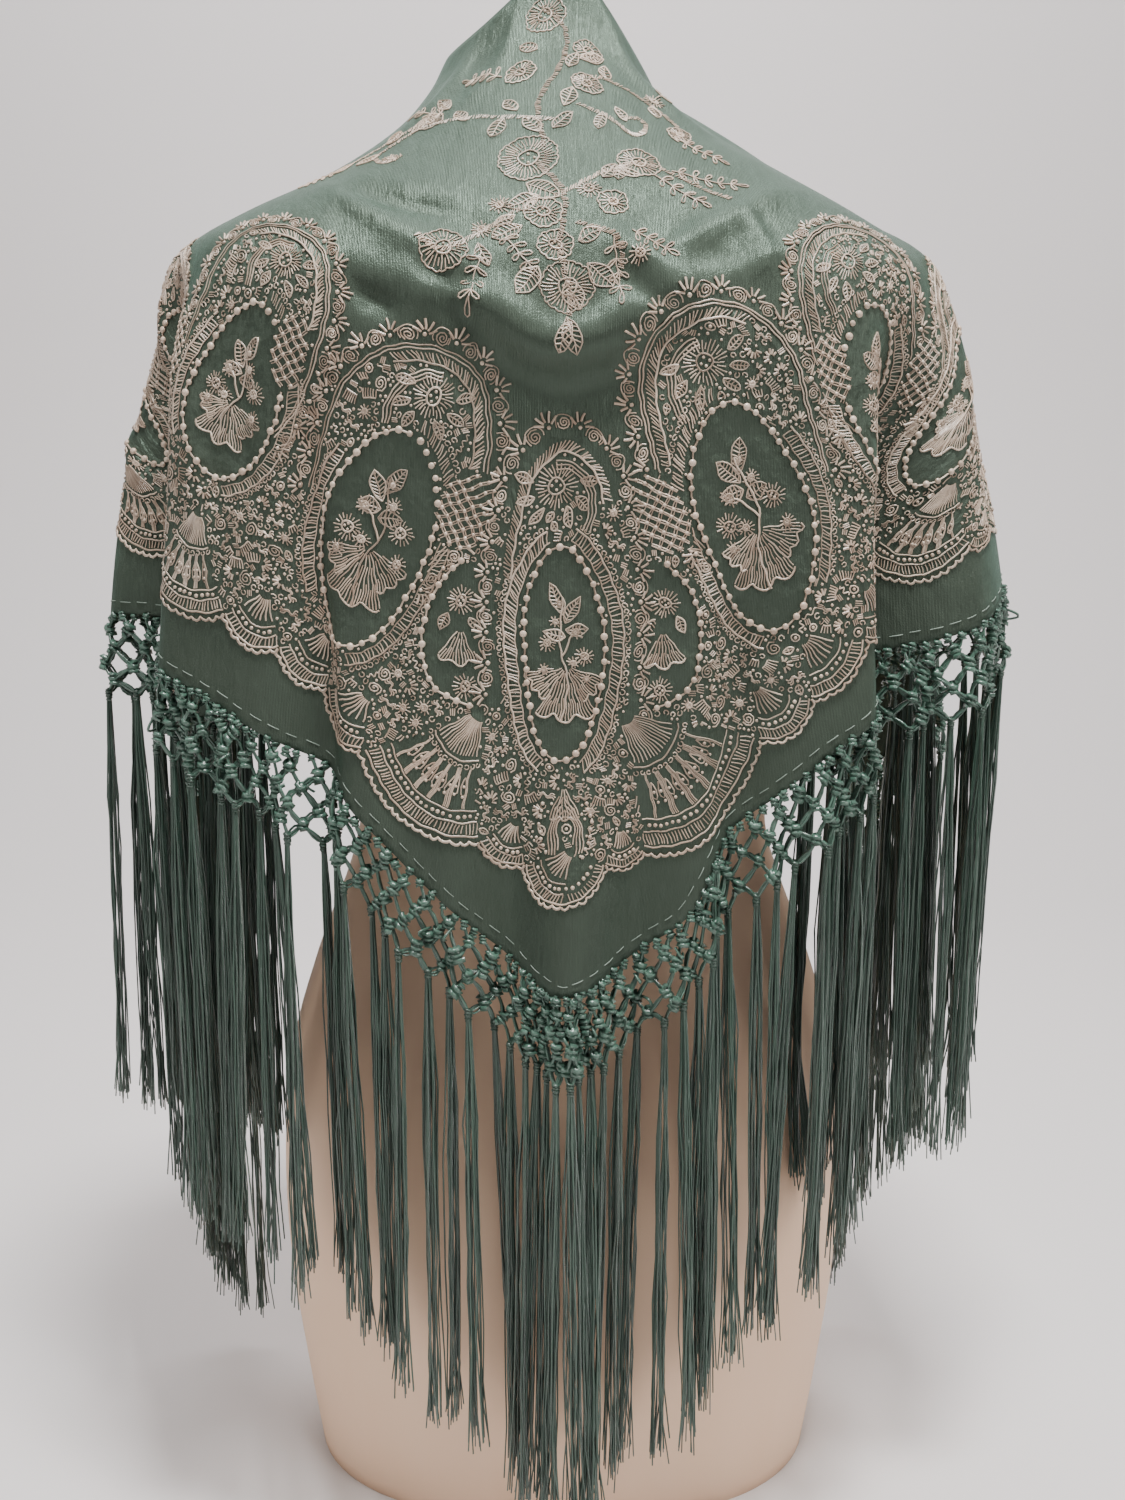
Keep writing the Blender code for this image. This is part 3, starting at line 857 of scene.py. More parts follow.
def leaf(figure, shift, turn, length, width):
    """A leaf with a rib and slanted stitches on both sides of it."""
    shares = np.linspace(0, 1, 8)
    half = 0.5 * width * np.sin(math.pi * shares) ** 0.8
    rising = np.stack([half, length * shares], axis=-1)
    falling = np.stack([-half[::-1], length * shares[::-1]], axis=-1)
    sew(figure, turned(np.concatenate([rising, falling[1:]]), turn, shift), CORD * 0.8)
    sew(figure, turned([(0, 0), (0, length)], turn, shift), THREAD)
    for share in np.arange(0.12, 0.86, 1.75 / length):
        reach = 0.5 * width * math.sin(math.pi * min(share + 0.10, 1.0)) ** 0.8
        for way in (-1, 1):
            ends = [(0, length * share), (way * reach, length * (share + 0.10))]
            sew(figure, turned(ends, turn, shift))


def ginkgo(figure, shift, turn, reach, spread=85.0):
    """A fan leaf: stitches of uneven length that open from its foot to a wavy rim."""
    count = max(5, int(math.radians(spread) * reach / 3.1))
    rim = []
    for number in range(2 * count + 1):
        share = number / (2 * count)
        lean = math.radians(spread * (share - 0.5))
        far = reach * (0.86 + 0.14 * abs(math.sin(2.5 * math.pi * share + 0.6)))
        way = np.array([math.sin(lean), math.cos(lean)])
        rim.append(far * way)
        near = (0.12, 0.66, 0.30, 0.58)[number % 4]
        sew(figure, turned([near * reach * way, 0.97 * far * way], turn, shift))
    sew(figure, turned(rim, turn, shift), CORD)


def beads(figure, path, pitch=6.0, size=BEAD):
    """Wound beads on a cord."""
    lay(figure, path, CORD)
    knot(figure, evenly(path, pitch)[:-1], size)


def rings(figure, path, pitch=3.1, reach=1.15):
    """A row of small open ring stitches."""
    for number, point in enumerate(evenly(path, pitch)):
        sew(figure, turned(oval(reach, reach, 6, 20, 320), 40 * number, point))


def slanted(figure, inner, outer, pitch=1.75, slant=1.8):
    """Close parallel stitches across a band."""
    length = lengths_along(inner)[-1]
    inner_share, outer_share = shares_along(inner), shares_along(outer)
    count = int(length / pitch)
    for number, share in enumerate(np.arange(count) / count):
        to = np.clip(share + slant / length * (1 + 0.45 * math.sin(1.7 * number)), 0.0, 1.0)
        sew(figure, [read_off(share, inner_share, inner), read_off(to, outer_share, outer)])


def scallops(path, pitch, depth):
    """A path of small arcs, which bulge to the left of another path."""
    stops = evenly(path, pitch)
    found = [stops[0]]
    for start, end in zip(stops, stops[1:]):
        step = end - start
        side = np.array([-step[1], step[0]]) / max(np.linalg.norm(step), 1e-9)
        for share in (0.2, 0.5, 0.8, 1.0):
            bulge = depth * math.sin(math.pi * share) ** 0.7 if share < 1 else 0
            found.append(start + share * step + bulge * side)
    return np.array(found)


def lattice(figure, half_width, half_length):
    """Crossed threads with a knot where each pair meets."""
    reach = max(half_width, half_length)
    steps = np.arange(-reach, reach, LATTICE_PITCH)
    for turn in (-45, 45):
        for place in steps:
            line = turned([(place, y) for y in np.linspace(-reach, reach, 25)], turn)
            inside = (line[:, 0] / half_width) ** 2 + (line[:, 1] / half_length) ** 2 < 1
            if inside.sum() > 2:
                for way in (-0.5, 0.5):
                    sew(figure, line[inside] + turned([(way, 0)], turn))
    for point in turned([(a, b) for a in steps for b in steps], 45):
        if (point[0] / half_width) ** 2 + (point[1] / half_length) ** 2 < 0.95:
            knot(figure, [point])


def spray(figure, half_width, half_length, way=1):
    """A bunch in an oval: a stem, round flowers, fan leaves below and buds above."""
    scale = np.array([way * half_width, half_length])
    stem = [(0.0, -0.62), (0.10, -0.25), (-0.14, 0.10), (0.02, 0.55)]
    sew(figure, catmull_rom(stem, 6) * scale, CORD)
    sew(figure, catmull_rom([(-0.1, 0.0), (0.2, 0.22), (0.44, 0.20)], 4) * scale, CORD)
    spots = ((0.50, 0.02, 0.27), (-0.46, 0.13, 0.25), (0.30, 0.25, 0.20), (-0.20, 0.33, 0.17))
    spots += ((-0.56, -0.13, 0.18), (0.58, -0.18, 0.16), (0.20, -0.04, 0.18), (-0.08, 0.50, 0.12))
    for across, up, size in spots:
        rosette(figure, (across, up) * scale, size * half_width)
    low = np.array((0.02, -0.08)) * scale
    for lean, share, spread in ((176, 0.54, 66.0), (232, 0.40, 48.0), (128, 0.38, 46.0)):
        ginkgo(figure, low, way * lean, share * half_length, spread)
    leaves = ((-20, 0.30), (34, 0.27), (88, 0.20), (-76, 0.20))
    for number, (lean, share) in enumerate(leaves):
        foot = np.array((0.02, 0.40 - 0.07 * number)) * scale
        leaf(figure, foot, way * lean, share * half_length, 0.30 * half_width)


def rim_of_flowers(figure, path):
    """Spirals of cord between small fan flowers that look outwards, along a double cord."""
    for distance in (4.2, 5.8):
        lay(figure, beside(path, distance), STOUT_THREAD, 2.6)
    stops = evenly(path, FLOWER_PITCH / 2)
    slope = np.gradient(stops, axis=0)
    for number, (stop, way) in enumerate(zip(stops, slope)):
        outward = math.degrees(math.atan2(way[1], -way[0]))
        if number % 2:
            spiral(figure, stop, 3.2, number)
            sew(figure, turned(oval(4.0, 4.0, 14, -120, 120), outward, stop))
        else:
            fan_flower(figure, stop, outward, 7.2, 5, 130.0)
            knot(figure, [stop], FLOWER_KNOT)


def paisley(figure, half_width, half_length, arch, crown, way, bands):
    """A paisley: a beaded oval with a bunch in it, bands round it and an arch of flowers."""

    def heart(room, *span):
        return oval(half_width + room, half_length + room, *span)

    spray(figure, 0.94 * half_width, half_length, way)
    beads(figure, heart(0, 64))
    hold(placed(figure, heart(2.0, 40)))
    for start, end in bands:
        near, far = (heart(room, 48, start, end) for room in PAISLEY_BAND)
        slanted(figure, near, far)
        lay(figure, near, THREAD, 2.6)
        lay(figure, far, CORD, 2.6)
        rings(figure, heart(RING_ROW, 48, start + 6, end - 6))
    path = catmull_rom(arch, 8)
    rim_of_flowers(figure, path)
    band = slice(len(path) // 3, -len(path) // 5)
    slanted(figure, beside(path, 7.4)[band], beside(path, 11.2)[band], 1.9, 2.4)
    lay(figure, beside(path, 11.6)[band], CORD, 2.6)
    reach = CROWN_REACH
    rosette(figure, crown, reach)
    for turn in (-150, -115, -78, 80, 118, 150):
        foot = turned([(0, reach * 1.05)], turn, crown)[0]
        leaf(figure, foot, turn + 14 * way, 9.5, 4.4)
    curl = [(0, 11), (9 * way, 9), (17 * way, 1), (20 * way, -11), (18 * way, -22)]
    for distance in (0.0, 1.7, 3.4):
        line = beside(catmull_rom(curl, 5), -way * distance)
        sew(figure, line + np.array(crown), THREAD * 1.1)
    hold(placed(figure, np.array(crown) + oval(reach, reach, 20)))
    hold(placed(figure, beside(path, -3.0)), fence=True)
    hold(placed(figure, heart(ROOM, 40)), fence=True)
    return placed(figure, beside(path, 8.0))


def hem_down_at(across):
    """How far down the hem is at a distance across."""
    return np.interp(across, hem_places[:, 0], hem_places[:, 1])


def shell(figure, start, end, bulge, depth):
    """A scalloped shell between two points: nested arcs with stitches and seeds between them."""
    start, end = np.array(start), np.array(end)
    chord = end - start
    side = np.array([chord[1], -chord[0]]) / np.linalg.norm(chord)
    shares = np.linspace(0, 1, 15)[:, None]
    arc = start + shares * chord + bulge * np.sin(math.pi * shares) ** 0.8 * side
    foot = start + 0.5 * chord - depth * side

    def tier(share):
        return foot + (arc - foot) * share

    def ray(share, near, far, radius=THREAD):
        point = read_off(share, shares[:, 0], arc)
        sew(figure, [foot + (point - foot) * k for k in (near, far)], radius)

    large = math.dist(start, end) > LARGE_SHELL
    sew(figure, scallops(arc[::-1], 4.4, 1.5), EDGE_CORD)
    lay(figure, tier(0.955), CORD)
    slanted(figure, tier(0.86 if large else 0.80), tier(0.935), 1.6, 0.8)
    if large:
        lay(figure, tier(0.845), FINE_CORD)
        knot(figure, evenly(tier(0.80), 3.1)[1:-1])
        lay(figure, tier(0.755), STOUT_THREAD)
        for number in range(1, 6):
            middle_share = number / 6
            for shift in (-0.075, -0.062, 0.062, 0.075):
                ray(middle_share + shift, 0.44, 0.74)
            point = read_off(middle_share, shares[:, 0], arc)
            lean = math.degrees(math.atan2(*(point - foot)))
            for way in (-1, 1):
                across = turned([(1.9 * way, 0.0)], lean)[0]
                eye = foot + 0.50 * (point - foot) + across
                sew(figure, turned(drop_loop(9.0, 3.4), lean, eye), STOUT_THREAD)
                knot(figure, [eye + k * (point - foot) for k in (0.07, 0.14)], EYE_KNOT)
        rings(figure, tier(0.425), 3.0, 1.05)
        lay(figure, tier(0.385), FINE_CORD)
        for share in np.linspace(0.03, 0.97, 15):
            ray(share, 0.10, 0.35)
    else:
        lay(figure, tier(0.785), FINE_CORD)
        knot(figure, evenly(tier(0.70), 2.9)[1:-1])
        lay(figure, tier(0.62), STOUT_THREAD)
        for share in np.linspace(0.06, 0.94, 7):
            ray(share, 0.16, 0.52, FINE_CORD)
    hold(placed(figure, np.concatenate([tier(0.97), [foot]])))


CENTRE_ARCH = (
    (41, -34), (36, 0), (35, 34), (33, 62), (24, 90), (0, 106),
    (-24, 90), (-33, 62), (-35, 34), (-36, 0), (-41, -34),
)
SIDE_ARCH = (
    (44, 8), (45, 36), (43, 64), (28, 91), (2, 101),
    (-25, 93), (-40, 68), (-42, 38), (-38, 8), (-30, -14),
)
BORDER_STOPS = (
    (0, 46), (22, 56), (43, 50), (99, 35), (122, 39), (147, 46), (172, 49), (222, 48), (242, 47),
    (296, 44), (316, 44), (368, 46), (388, 48), (440, 50), (462, 48), (512, 48), (534, 50), (580, 60),
)
SIDE_PAISLEYS = (
    ((0.090, 0.308), -20.0, 1.00, 26.0, 54.0),
    ((0.160, 0.250), -20.0, 0.92, 25.0, 48.0),
    ((0.243, 0.250), -8.0, 0.80, 26.0, 50.0),
    ((0.322, 0.248), 4.0, 0.78, 26.0, 50.0),
    ((0.400, 0.272), 18.0, 0.74, 26.0, 52.0),
    ((0.462, 0.338), 32.0, 0.64, 24.0, 50.0),
)

whole = Figure((0.0, 0.0))
middle = Figure((0.0, 0.368))
grounds = []
for side in (-1, 1):
    border = []
    for across, above in np.array(BORDER_STOPS) / 1000:
        down = hem_down_at(side * across) - above
        border.append((1000 * across, -1000 * down))
    figure = Figure((0.0, 0.0), side=side)
    for number, (start, end) in enumerate(zip(border, border[1:])):
        length = math.dist(start, end)
        shell(figure, start, end, (0.20 + 0.05 * (number % 2)) * length, 0.78 * length)
bands = ((14, 158), (-158, -14))
grounds.append(paisley(middle, 19.0, 52.0, CENTRE_ARCH, (-4.0, 79.0), 1, bands))
COMPARTMENT = ((4, 44), (16, 30), (22, 8), (18, -14), (2, -24), (-14, -26))
for side in (-1, 1):
    figure = Figure((0.044, 0.368), side=side)
    room = catmull_rom(COMPARTMENT, 6)
    beads(figure, room, 5.4, 0.0017)
    rosette(figure, (3.0, 25.0), 7.2)
    ginkgo(figure, (3.0, 12.0), 172, 18.0, 72.0)
    leaf(figure, (9.0, 19.0), 150, 9.0, 4.6)
    leaf(figure, (-1.0, 17.0), 214, 8.0, 4.2)
    rosette(figure, (3.5, -15.5), 6.2)
    hold(placed(figure, np.concatenate([room, [(-12, -26), (-12, 40)]])))
    low = Figure((0.0, 0.448), side=side)
    for number in range(4):
        drop = [(0.5, 10 - 3 * number), (7 - number, -2)]
        drop += [(8 - 1.6 * number, -16), (1, -30 + 3.4 * number)]
        sew(low, catmull_rom(drop, 6), STOUT_THREAD)
    knot(low, evenly(catmull_rom([(10, 8), (12.5, -4), (9, -18)], 5), 3.2))
ginkgo(Figure((0.0, 0.432), 180.0), (0.0, 0.0), 0.0, 17.0, 50.0)

LATTICES = (
    ((0.046, 0.300), 10.0, 13.0, 20.0, -24.0),
    ((0.128, 0.232), 8.0, 9.0, 17.0, -20.0),
    ((0.201, 0.236), 0.0, 9.0, 18.0, -10.0),
    ((0.282, 0.236), 4.0, 9.0, 18.0, 0.0),
    ((0.362, 0.246), 10.0, 9.0, 17.0, 10.0),
)
for (across, down), lean, half_width, half_length, turn in LATTICES:
    for side in (-1, 1):
        figure = Figure((across, down), turn, side=side)
        lattice(figure, half_width, half_length)
        hold(placed(figure, oval(half_width, half_length, 24)))
for centre, turn, size, half_width, half_length in SIDE_PAISLEYS:
    for side in (-1, 1):
        lifted = 0.007 * side * math.exp(-(((centre[0] - 0.10) / 0.06) ** 2))
        figure = Figure((centre[0], centre[1] - lifted), turn + 2.0 * side, size, side)
        arch = np.array(SIDE_ARCH) * np.array([1.0, 1.0 + 0.02 * side])
        bands = ((-164, -6), (58, 132))
        crown = (-3.0, 74.0)
        grounds.append(paisley(figure, half_width, half_length, arch, crown, -side, bands))

FRONT_CORD_DOWN = {-1: (0.205, 0.480), 1: (0.215, 0.452)}
FRONT_CORD_MARGIN = BARE_MARGIN + 0.0020
for side, (top, bottom) in FRONT_CORD_DOWN.items():
    downs = np.linspace(top, bottom, 60)
    edge = row_across[:, 0] if side < 0 else row_across[:, -1]
    acrosses = np.interp(downs, CHART_DOWN, edge) - side * FRONT_CORD_MARGIN
    path = np.stack([side * 1000 * acrosses, -1000 * downs], axis=-1)
    figure = Figure((0.0, 0.0), side=side)
    sew(figure, scallops(path, 4.4, 1.0), EDGE_CORD)
    lay(figure, beside(path, -2.2), CORD)
    slanted(figure, beside(path, -3.2), beside(path, -6.4), 1.9, 1.2)
    lay(figure, beside(path, -7.2), CORD)

# A garland of rosettes on curling stems comes down from the neck. What is left bare of the worked
# band is filled with small motifs: rings, knots, squiggles, combs and little flowers.

GARLAND_FLOWER_SIZE = 1.14
GARLAND_LEAF_SIZE = 1.22
GARLAND_FLOWERS = (
    (-10, 24, 8.6), (14, 44, 6.2), (-20, 61, 6.6), (12, 71, 6.0), (-67, 78, 6.0), (-17, 125, 12.4),
    (37, 126, 8.4), (13, 147, 5.2), (23, 155, 5.4), (-28, 156, 5.0), (-8, 160, 7.0), (-36, 171, 4.6),
    (-53, 183, 8.8), (1, 199, 10.6), (-4, 178, 6.4), (34, 186, 4.4), (-84, 112, 4.2), (58, 92, 5.4),
    (46, 64, 4.6),
)
GARLAND_STEMS = (
    ((-12, 18), (2, 36), (0, 60), (-12, 88), (-10, 118)),
    ((-12, 128), (2, 150), (-2, 180), (3, 205), (3, 218)),
    ((0, 150), (14, 140), (26, 132), (38, 126), (56, 132), (78, 145)),
    ((6, 88), (20, 94), (34, 104), (40, 96), (36, 88), (29, 92)),
    ((-6, 100), (-26, 94), (-46, 86), (-70, 82), (-86, 94)),
    ((-86, 94), (-94, 106), (-86, 116), (-78, 110)),
    ((-10, 152), (-26, 164), (-40, 176), (-54, 184), (-66, 176)),
    ((6, 166), (20, 172), (26, 184), (24, 198)),
    ((4, 70), (22, 62), (42, 68), (58, 86), (56, 100)),
    ((-60, 60), (-72, 76), (-96, 92), (-122, 112)),
)
GARLAND_LEAVES = (
    (-28, 94, 210, 12, 6), (-46, 88, 330, 11, 5), (18, 92, 190, 11, 5), (-18, 168, 240, 13, 7),
    (-30, 168, 60, 9, 4), (10, 188, 130, 14, 8), (-12, 190, 215, 15, 8), (2, 214, 160, 14, 7),
    (4, 216, 200, 12, 6), (10, 52, 60, 12, 6), (-12, 46, 300, 10, 5), (0, 90, 20, 12, 6),
    (-12, 108, 330, 12, 6), (-6, 106, 40, 12, 6), (26, 134, 100, 9, 5), (-38, 180, 160, 10, 5),
    (30, 94, 330, 9, 4), (-76, 86, 20, 12, 5), (-92, 104, 250, 12, 5), (-110, 104, 230, 12, 5),
    (-58, 70, 330, 12, 6), (-84, 80, 210, 11, 6), (-16, 142, 120, 15, 9), (-10, 150, 240, 13, 8),
    (6, 176, 60, 10, 6), (0, 196, 150, 13, 8), (20, 140, 30, 9, 6), (30, 130, 200, 9, 5),
    (-22, 90, 330, 9, 5), (4, 60, 20, 10, 5), (22, 62, 0, 9, 5), (44, 70, 170, 9, 5),
)
LOOP_SPRAYS = (
    (52, 128, 96, 30, 5), (44, 134, 128, 24, 4), (-36, 184, 196, 24, 4), (-26, 172, 150, 20, 4),
    (22, 176, 170, 26, 4), (30, 172, 120, 20, 4), (-60, 74, 300, 24, 4), (48, 60, 40, 20, 3),
    (-30, 60, 300, 22, 4), (-118, 110, 240, 22, 4), (58, 98, 120, 22, 4),
)
for across, down, reach in GARLAND_FLOWERS:
    reach *= GARLAND_FLOWER_SIZE
    figure = Figure((across / 1000, down / 1000))
    rosette(figure, (0.0, 0.0), reach)
    if reach > 6:
        sew(figure, scallops(oval(reach, reach, 30), 3.6, 0.9), STOUT_THREAD)
for stem in GARLAND_STEMS:
    path = evenly(catmull_rom(np.array(stem) * (1, -1), 6), 2.4)
    slanted(whole, beside(path, -1.25), beside(path, 1.25), 1.15, 1.7)
for across, down, turn, length, width in GARLAND_LEAVES:
    figure = Figure((across / 1000, down / 1000), size=GARLAND_LEAF_SIZE)
    leaf(figure, (0.0, 0.0), turn, length, width)
for across, down, turn, length, pairs in LOOP_SPRAYS:
    figure = Figure((across / 1000, down / 1000), turn)
    sew(figure, [(0, 0), (0.6, 0.5 * length), (0, length)], STOUT_THREAD)
    sew(figure, turned(drop_loop(6.5, 3.0), 0, (0, length)), STOUT_THREAD)
    for pair in range(pairs):
        up = length * (pair + 0.6) / pairs
        for way in (-1, 1):
            sew(figure, turned(drop_loop(5.6, 2.6), 62 * way, (0.3, up)), STOUT_THREAD)

FILL_TOP = (
    (0, 300), (34, 296), (58, 262), (92, 256), (128, 218), (160, 214), (200, 206), (240, 204),
    (284, 206), (322, 206), (362, 216), (400, 228), (440, 252), (480, 290), (530, 380), (570, 460),
)
HAND_DRIFT = 0.0013
HAND_TREMOR = 0.00035
LARGE_FILL = (0.0086, 0.0044)
SMALL_FILL = (0.0058, 0.0029)
RING_FILL = (0.0036, 0.0018)
SEED_FILL = (0.0028, 0.0014)
rng = np.random.default_rng(12)
fenced[:] = False
fill_zones = list(grounds)
for side in (-1, 1):
    stops = np.array(BORDER_STOPS) / 1000
    low = [(side * a, hem_down_at(side * a) - above - 0.004) for a, above in stops]
    top = [(side * a / 1000, b / 1000) for a, b in FILL_TOP[::-1]]
    fill_zones.append(np.array(low + top))


def bare_places(pitch, clearance):
    """Places in the worked band that are still bare, on a staggered grid."""
    sewn = np.concatenate([evenly(places, 0.0011) for places, _ in sewn_threads])
    tree = KDTree(len(sewn))
    for number, place in enumerate(sewn):
        tree.insert((place[0], place[1], 0.0), number)
    tree.balance()
    acrosses, downs = np.meshgrid(np.arange(-0.58, 0.58, pitch), np.arange(0.10, 0.52, 0.87 * pitch))
    acrosses[1::2] += 0.5 * pitch
    acrosses += rng.uniform(-0.15, 0.15, acrosses.shape) * pitch
    downs += rng.uniform(-0.15, 0.15, downs.shape) * pitch
    inside = np.zeros(acrosses.shape, bool)
    for outline in fill_zones:
        inside |= inside_outline(outline, acrosses, downs)
    found = np.stack([acrosses[inside], downs[inside]], axis=-1)
    found = found[is_free(found)]
    return [place for place in found if tree.find((*place, 0.0))[2] > clearance]


pulled = np.zeros(len(flat_places), bool)
for outline in fill_zones:
    pulled |= inside_outline(outline, flat_places[:, 0], flat_places[:, 1])
store(silk_satin.data, "worked", pulled)


def squiggle(figure, length, waves, reach):
    """A wavy stitch line."""
    shares = np.linspace(-0.5, 0.5, 6 * waves + 1)
    line = np.stack([reach * np.sin(2 * math.pi * waves * shares), length * shares], axis=-1)
    sew(figure, line, THREAD * 1.15)


def comb(figure, width, height, teeth):
    """Parallel stitches that stand on a cord."""
    sew(figure, [(-0.5 * width, 0), (0, 0.4), (0.5 * width, 0)], FINE_CORD)
    for place in np.linspace(-0.5, 0.5, teeth):
        sew(figure, [(place * width, 0.3), (place * width * 1.25, height)])


for place in bare_places(*LARGE_FILL):
    figure = Figure(place, rng.uniform(0, 360))
    choice = rng.integers(0, 6)
    if choice == 0:
        spiral(figure, (0, 0), 3.6)
    elif choice == 1:
        fan_flower(figure, (0, -1.5), 0.0, 4.6)
    elif choice == 2:
        rosette(figure, (0, 0), 3.9)
    elif choice == 3:
        comb(figure, 5.6, 4.4, 6)
    else:
        for shift in (-1.6, 0.0, 1.6):
            squiggle(figure._replace(turn=figure.turn + 14 * shift), 8.0, 2, 0.8)
for place in bare_places(*SMALL_FILL):
    figure = Figure(place, rng.uniform(0, 360))
    choice = rng.integers(0, 4)
    if choice == 0:
        leaf(figure, (0, -2.6), 0.0, 5.2, 3.0)
    elif choice == 1:
        sew(figure, oval(1.9, 1.9, 8), STOUT_THREAD)
        knot(figure, [(0, 0)], RING_KNOT)
    elif choice == 2:
        squiggle(figure, 6.0, 2, 0.9)
    else:
        comb(figure, 3.6, 3.2, 4)
for place in bare_places(*RING_FILL):
    figure = Figure(place, rng.uniform(0, 360))
    if rng.uniform() < 0.6:
        sew(figure, oval(1.15, 1.15, 6, 20, 320))
    else:
        for shift in (-0.9, 0.0, 0.9):
            sew(figure, [(shift, -1.5), (shift + 0.3, 1.5)])
for place in bare_places(*SEED_FILL):
    knot(Figure(place), [(0, 0)], PIN_KNOT)


def put_on_points(tree, start, end, geometry):
    """Closes a tree with a copy of its geometry on each point, turned and sized as stored."""
    sockets = {
        "Points": start.outputs["Paths"],
        "Instance": geometry,
        "Rotation": attribute(tree, "turn", "FLOAT_VECTOR"),
        "Scale": attribute(tree, "size"),
    }
    ended(tree, added(tree, "GeometryNodeInstanceOnPoints", sockets), start, end)
    return tree


def beads_tree():
    """A wound bead on each point, flattened against the cloth and as large as stored."""
    tree, start, end = tree_for("beads_on_cloth", {"Rounds": "Int", "Material": "Material"})
    sockets = {"Radius": 1.0, "Subdivisions": start.outputs["Rounds"]}
    ball = added(tree, "GeometryNodeMeshIcoSphere", sockets)
    sockets = {"Geometry": ball, "Scale": (1.0, 1.0, BEAD_FLATNESS)}
    return put_on_points(tree, start, end, added(tree, "GeometryNodeTransform", sockets))


def point_mesh(name, points, sizes, turns):
    """A cloud of points that stores a size, a turn and a tone for each."""
    mesh = bpy.data.meshes.new(name)
    mesh.from_pydata(np.asarray(points).tolist(), [], [])
    store(mesh, "size", sizes)
    stored = mesh.attributes.new("turn", "FLOAT_VECTOR", "POINT")
    stored.data.foreach_set("vector", np.asarray(turns, float).ravel())
    store(mesh, "tone", np.random.default_rng(len(points)).uniform(0.3, 1, len(points)))
    return mesh


def by_hand(places):
    """Places moved a little, so that like figures aren't quite alike."""
    across, down = 1000 * places[:, 0], 1000 * places[:, 1]
    sideways = HAND_DRIFT * np.sin(0.071 * down + 0.043 * across + 0.6)
    sideways += HAND_TREMOR * np.sin(0.61 * down + 0.37 * across)
    lengthways = HAND_DRIFT * np.sin(0.063 * across - 0.037 * down + 1.9)
    lengthways += HAND_TREMOR * np.sin(0.57 * across - 0.41 * down)
    return places + np.stack([sideways, lengthways], axis=-1)


ivory = thread_finish(
    "ivory_silk_thread", (0.180, 0.128, 0.090), (0.830, 0.710, 0.575), (0.640, 0.430, 0.310), 0.28
)
worked_pieces = []
groups = {
    "embroidery_stitches_left": lambda middle, radius: middle < 0 and radius < FINEST_CORD,
    "embroidery_stitches_right": lambda middle, radius: middle >= 0 and radius < FINEST_CORD,
    "embroidery_cords": lambda middle, radius: radius >= FINEST_CORD,
}
for name, belongs in groups.items():
    chosen = [(p, r) for p, r in sewn_threads if belongs(p[:, 0].mean(), r)]
    paths = []
    for places, radius in chosen:
        if np.linalg.norm(np.diff(places, axis=0), axis=1).max() > LONGEST_STEP:
            places = evenly(places, WALKED_STEP)
        paths.append(on_cloth(by_hand(places), HALF_WALL + 0.55 * radius))
    piece = strands(name, paths, [radius for _, radius in chosen], ivory, 3)
    worked_pieces.append(piece)
BEADS = beads_tree()
knot_places = by_hand(np.array([place for place, _ in sewn_knots]))
knot_sizes = np.array([size for _, size in sewn_knots]) * rng.uniform(0.86, 1.12, len(sewn_knots))
knot_normals = looked_up(cloth_normals, knot_places)
knot_turns = np.array([Vector(n).to_track_quat("Z", "Y").to_euler()[:] for n in knot_normals])
for name, chosen, rounds in (
    ("embroidery_knots", knot_sizes < SMALLEST_BEAD, 1),
    ("embroidery_beads", knot_sizes >= SMALLEST_BEAD, 2),
):
    points = on_cloth(knot_places[chosen], HALF_WALL + 0.30 * knot_sizes[chosen])
    cloud = point_mesh(name, points, knot_sizes[chosen], knot_turns[chosen])
    mesh = plain_mesh(name, cloud, BEADS, {"Rounds": rounds, "Material": ivory})
    worked_pieces.append(object_of(name, mesh, ivory))
for piece in worked_pieces:
    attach(piece, "root")

# The net is knotted by hand from strands of silk cord, straight into the edge. Small knots stand
# at double density along the hem, and four rows of larger ones follow, each about 9 mm lower. A
# tassel hangs from each knot of the last row: loose silk threads, bound at their head.

TASSELS_PER_SIDE = 60
THREADS_PER_TASSEL = 21
NET_PARTING_ANGLE = 0.25
GATHERS = (
    (-108.0, 0.2), (-92.0, 0.2), (-72.0, 0.2), (-56.0, 0.75), (-2.0, 0.7),
    (2.0, 0.7), (33.0, 0.1), (60.0, 0.3), (92.0, 0.2), (110.0, 0.2),
)
GATHER_WIDTH = 7.0
RIPPLE = 0.0042
ROW_DROPS = (0.0016, 0.0090, 0.0180, 0.0270, 0.0360)
HEAD_DROP = 0.0440
FORM_CLEARANCE = 0.0045
CORD_RADIUS = 0.00080
CORD_SPREAD = 0.00120
WRAPPING_CORD = 0.00066
WRAP_RADIUS = 0.00115
KNOT_HEIGHT = 0.0030
HEM_KNOT = 1.45
NET_KNOT = 2.10
NET_STRAY = 0.0007
HEAD_STRAY = 0.0004
LOOSE_LOOPS = 34
TASSEL_LENGTH = 0.240
TASSEL_REACH = 0.0039
TASSEL_POINTS = 9
HEAD_STEP = 0.0024
HEAD_SIZES = (1.35, 1.20)
TASSEL_SWAY = 0.0036
TASSEL_SPREAD = 0.0035
THREAD_SPREAD = 0.0045
THREAD_WANDER = 0.00055
THREAD_FRAY = 0.0022
THREAD_AT_HEAD = 0.00058
THREAD_AT_END = 0.00042


def form_radius_at(angle, z):
    """The form's radius below its shoulders, where its rings are level."""
    level = [ring for ring in FORM_RINGS if ring.z_back == ring.z_left]
    heights = [ring.z_back for ring in level]
    radii = [float(ring_radius(ring, angle)) for ring in level]
    return np.interp(z, heights, radii)


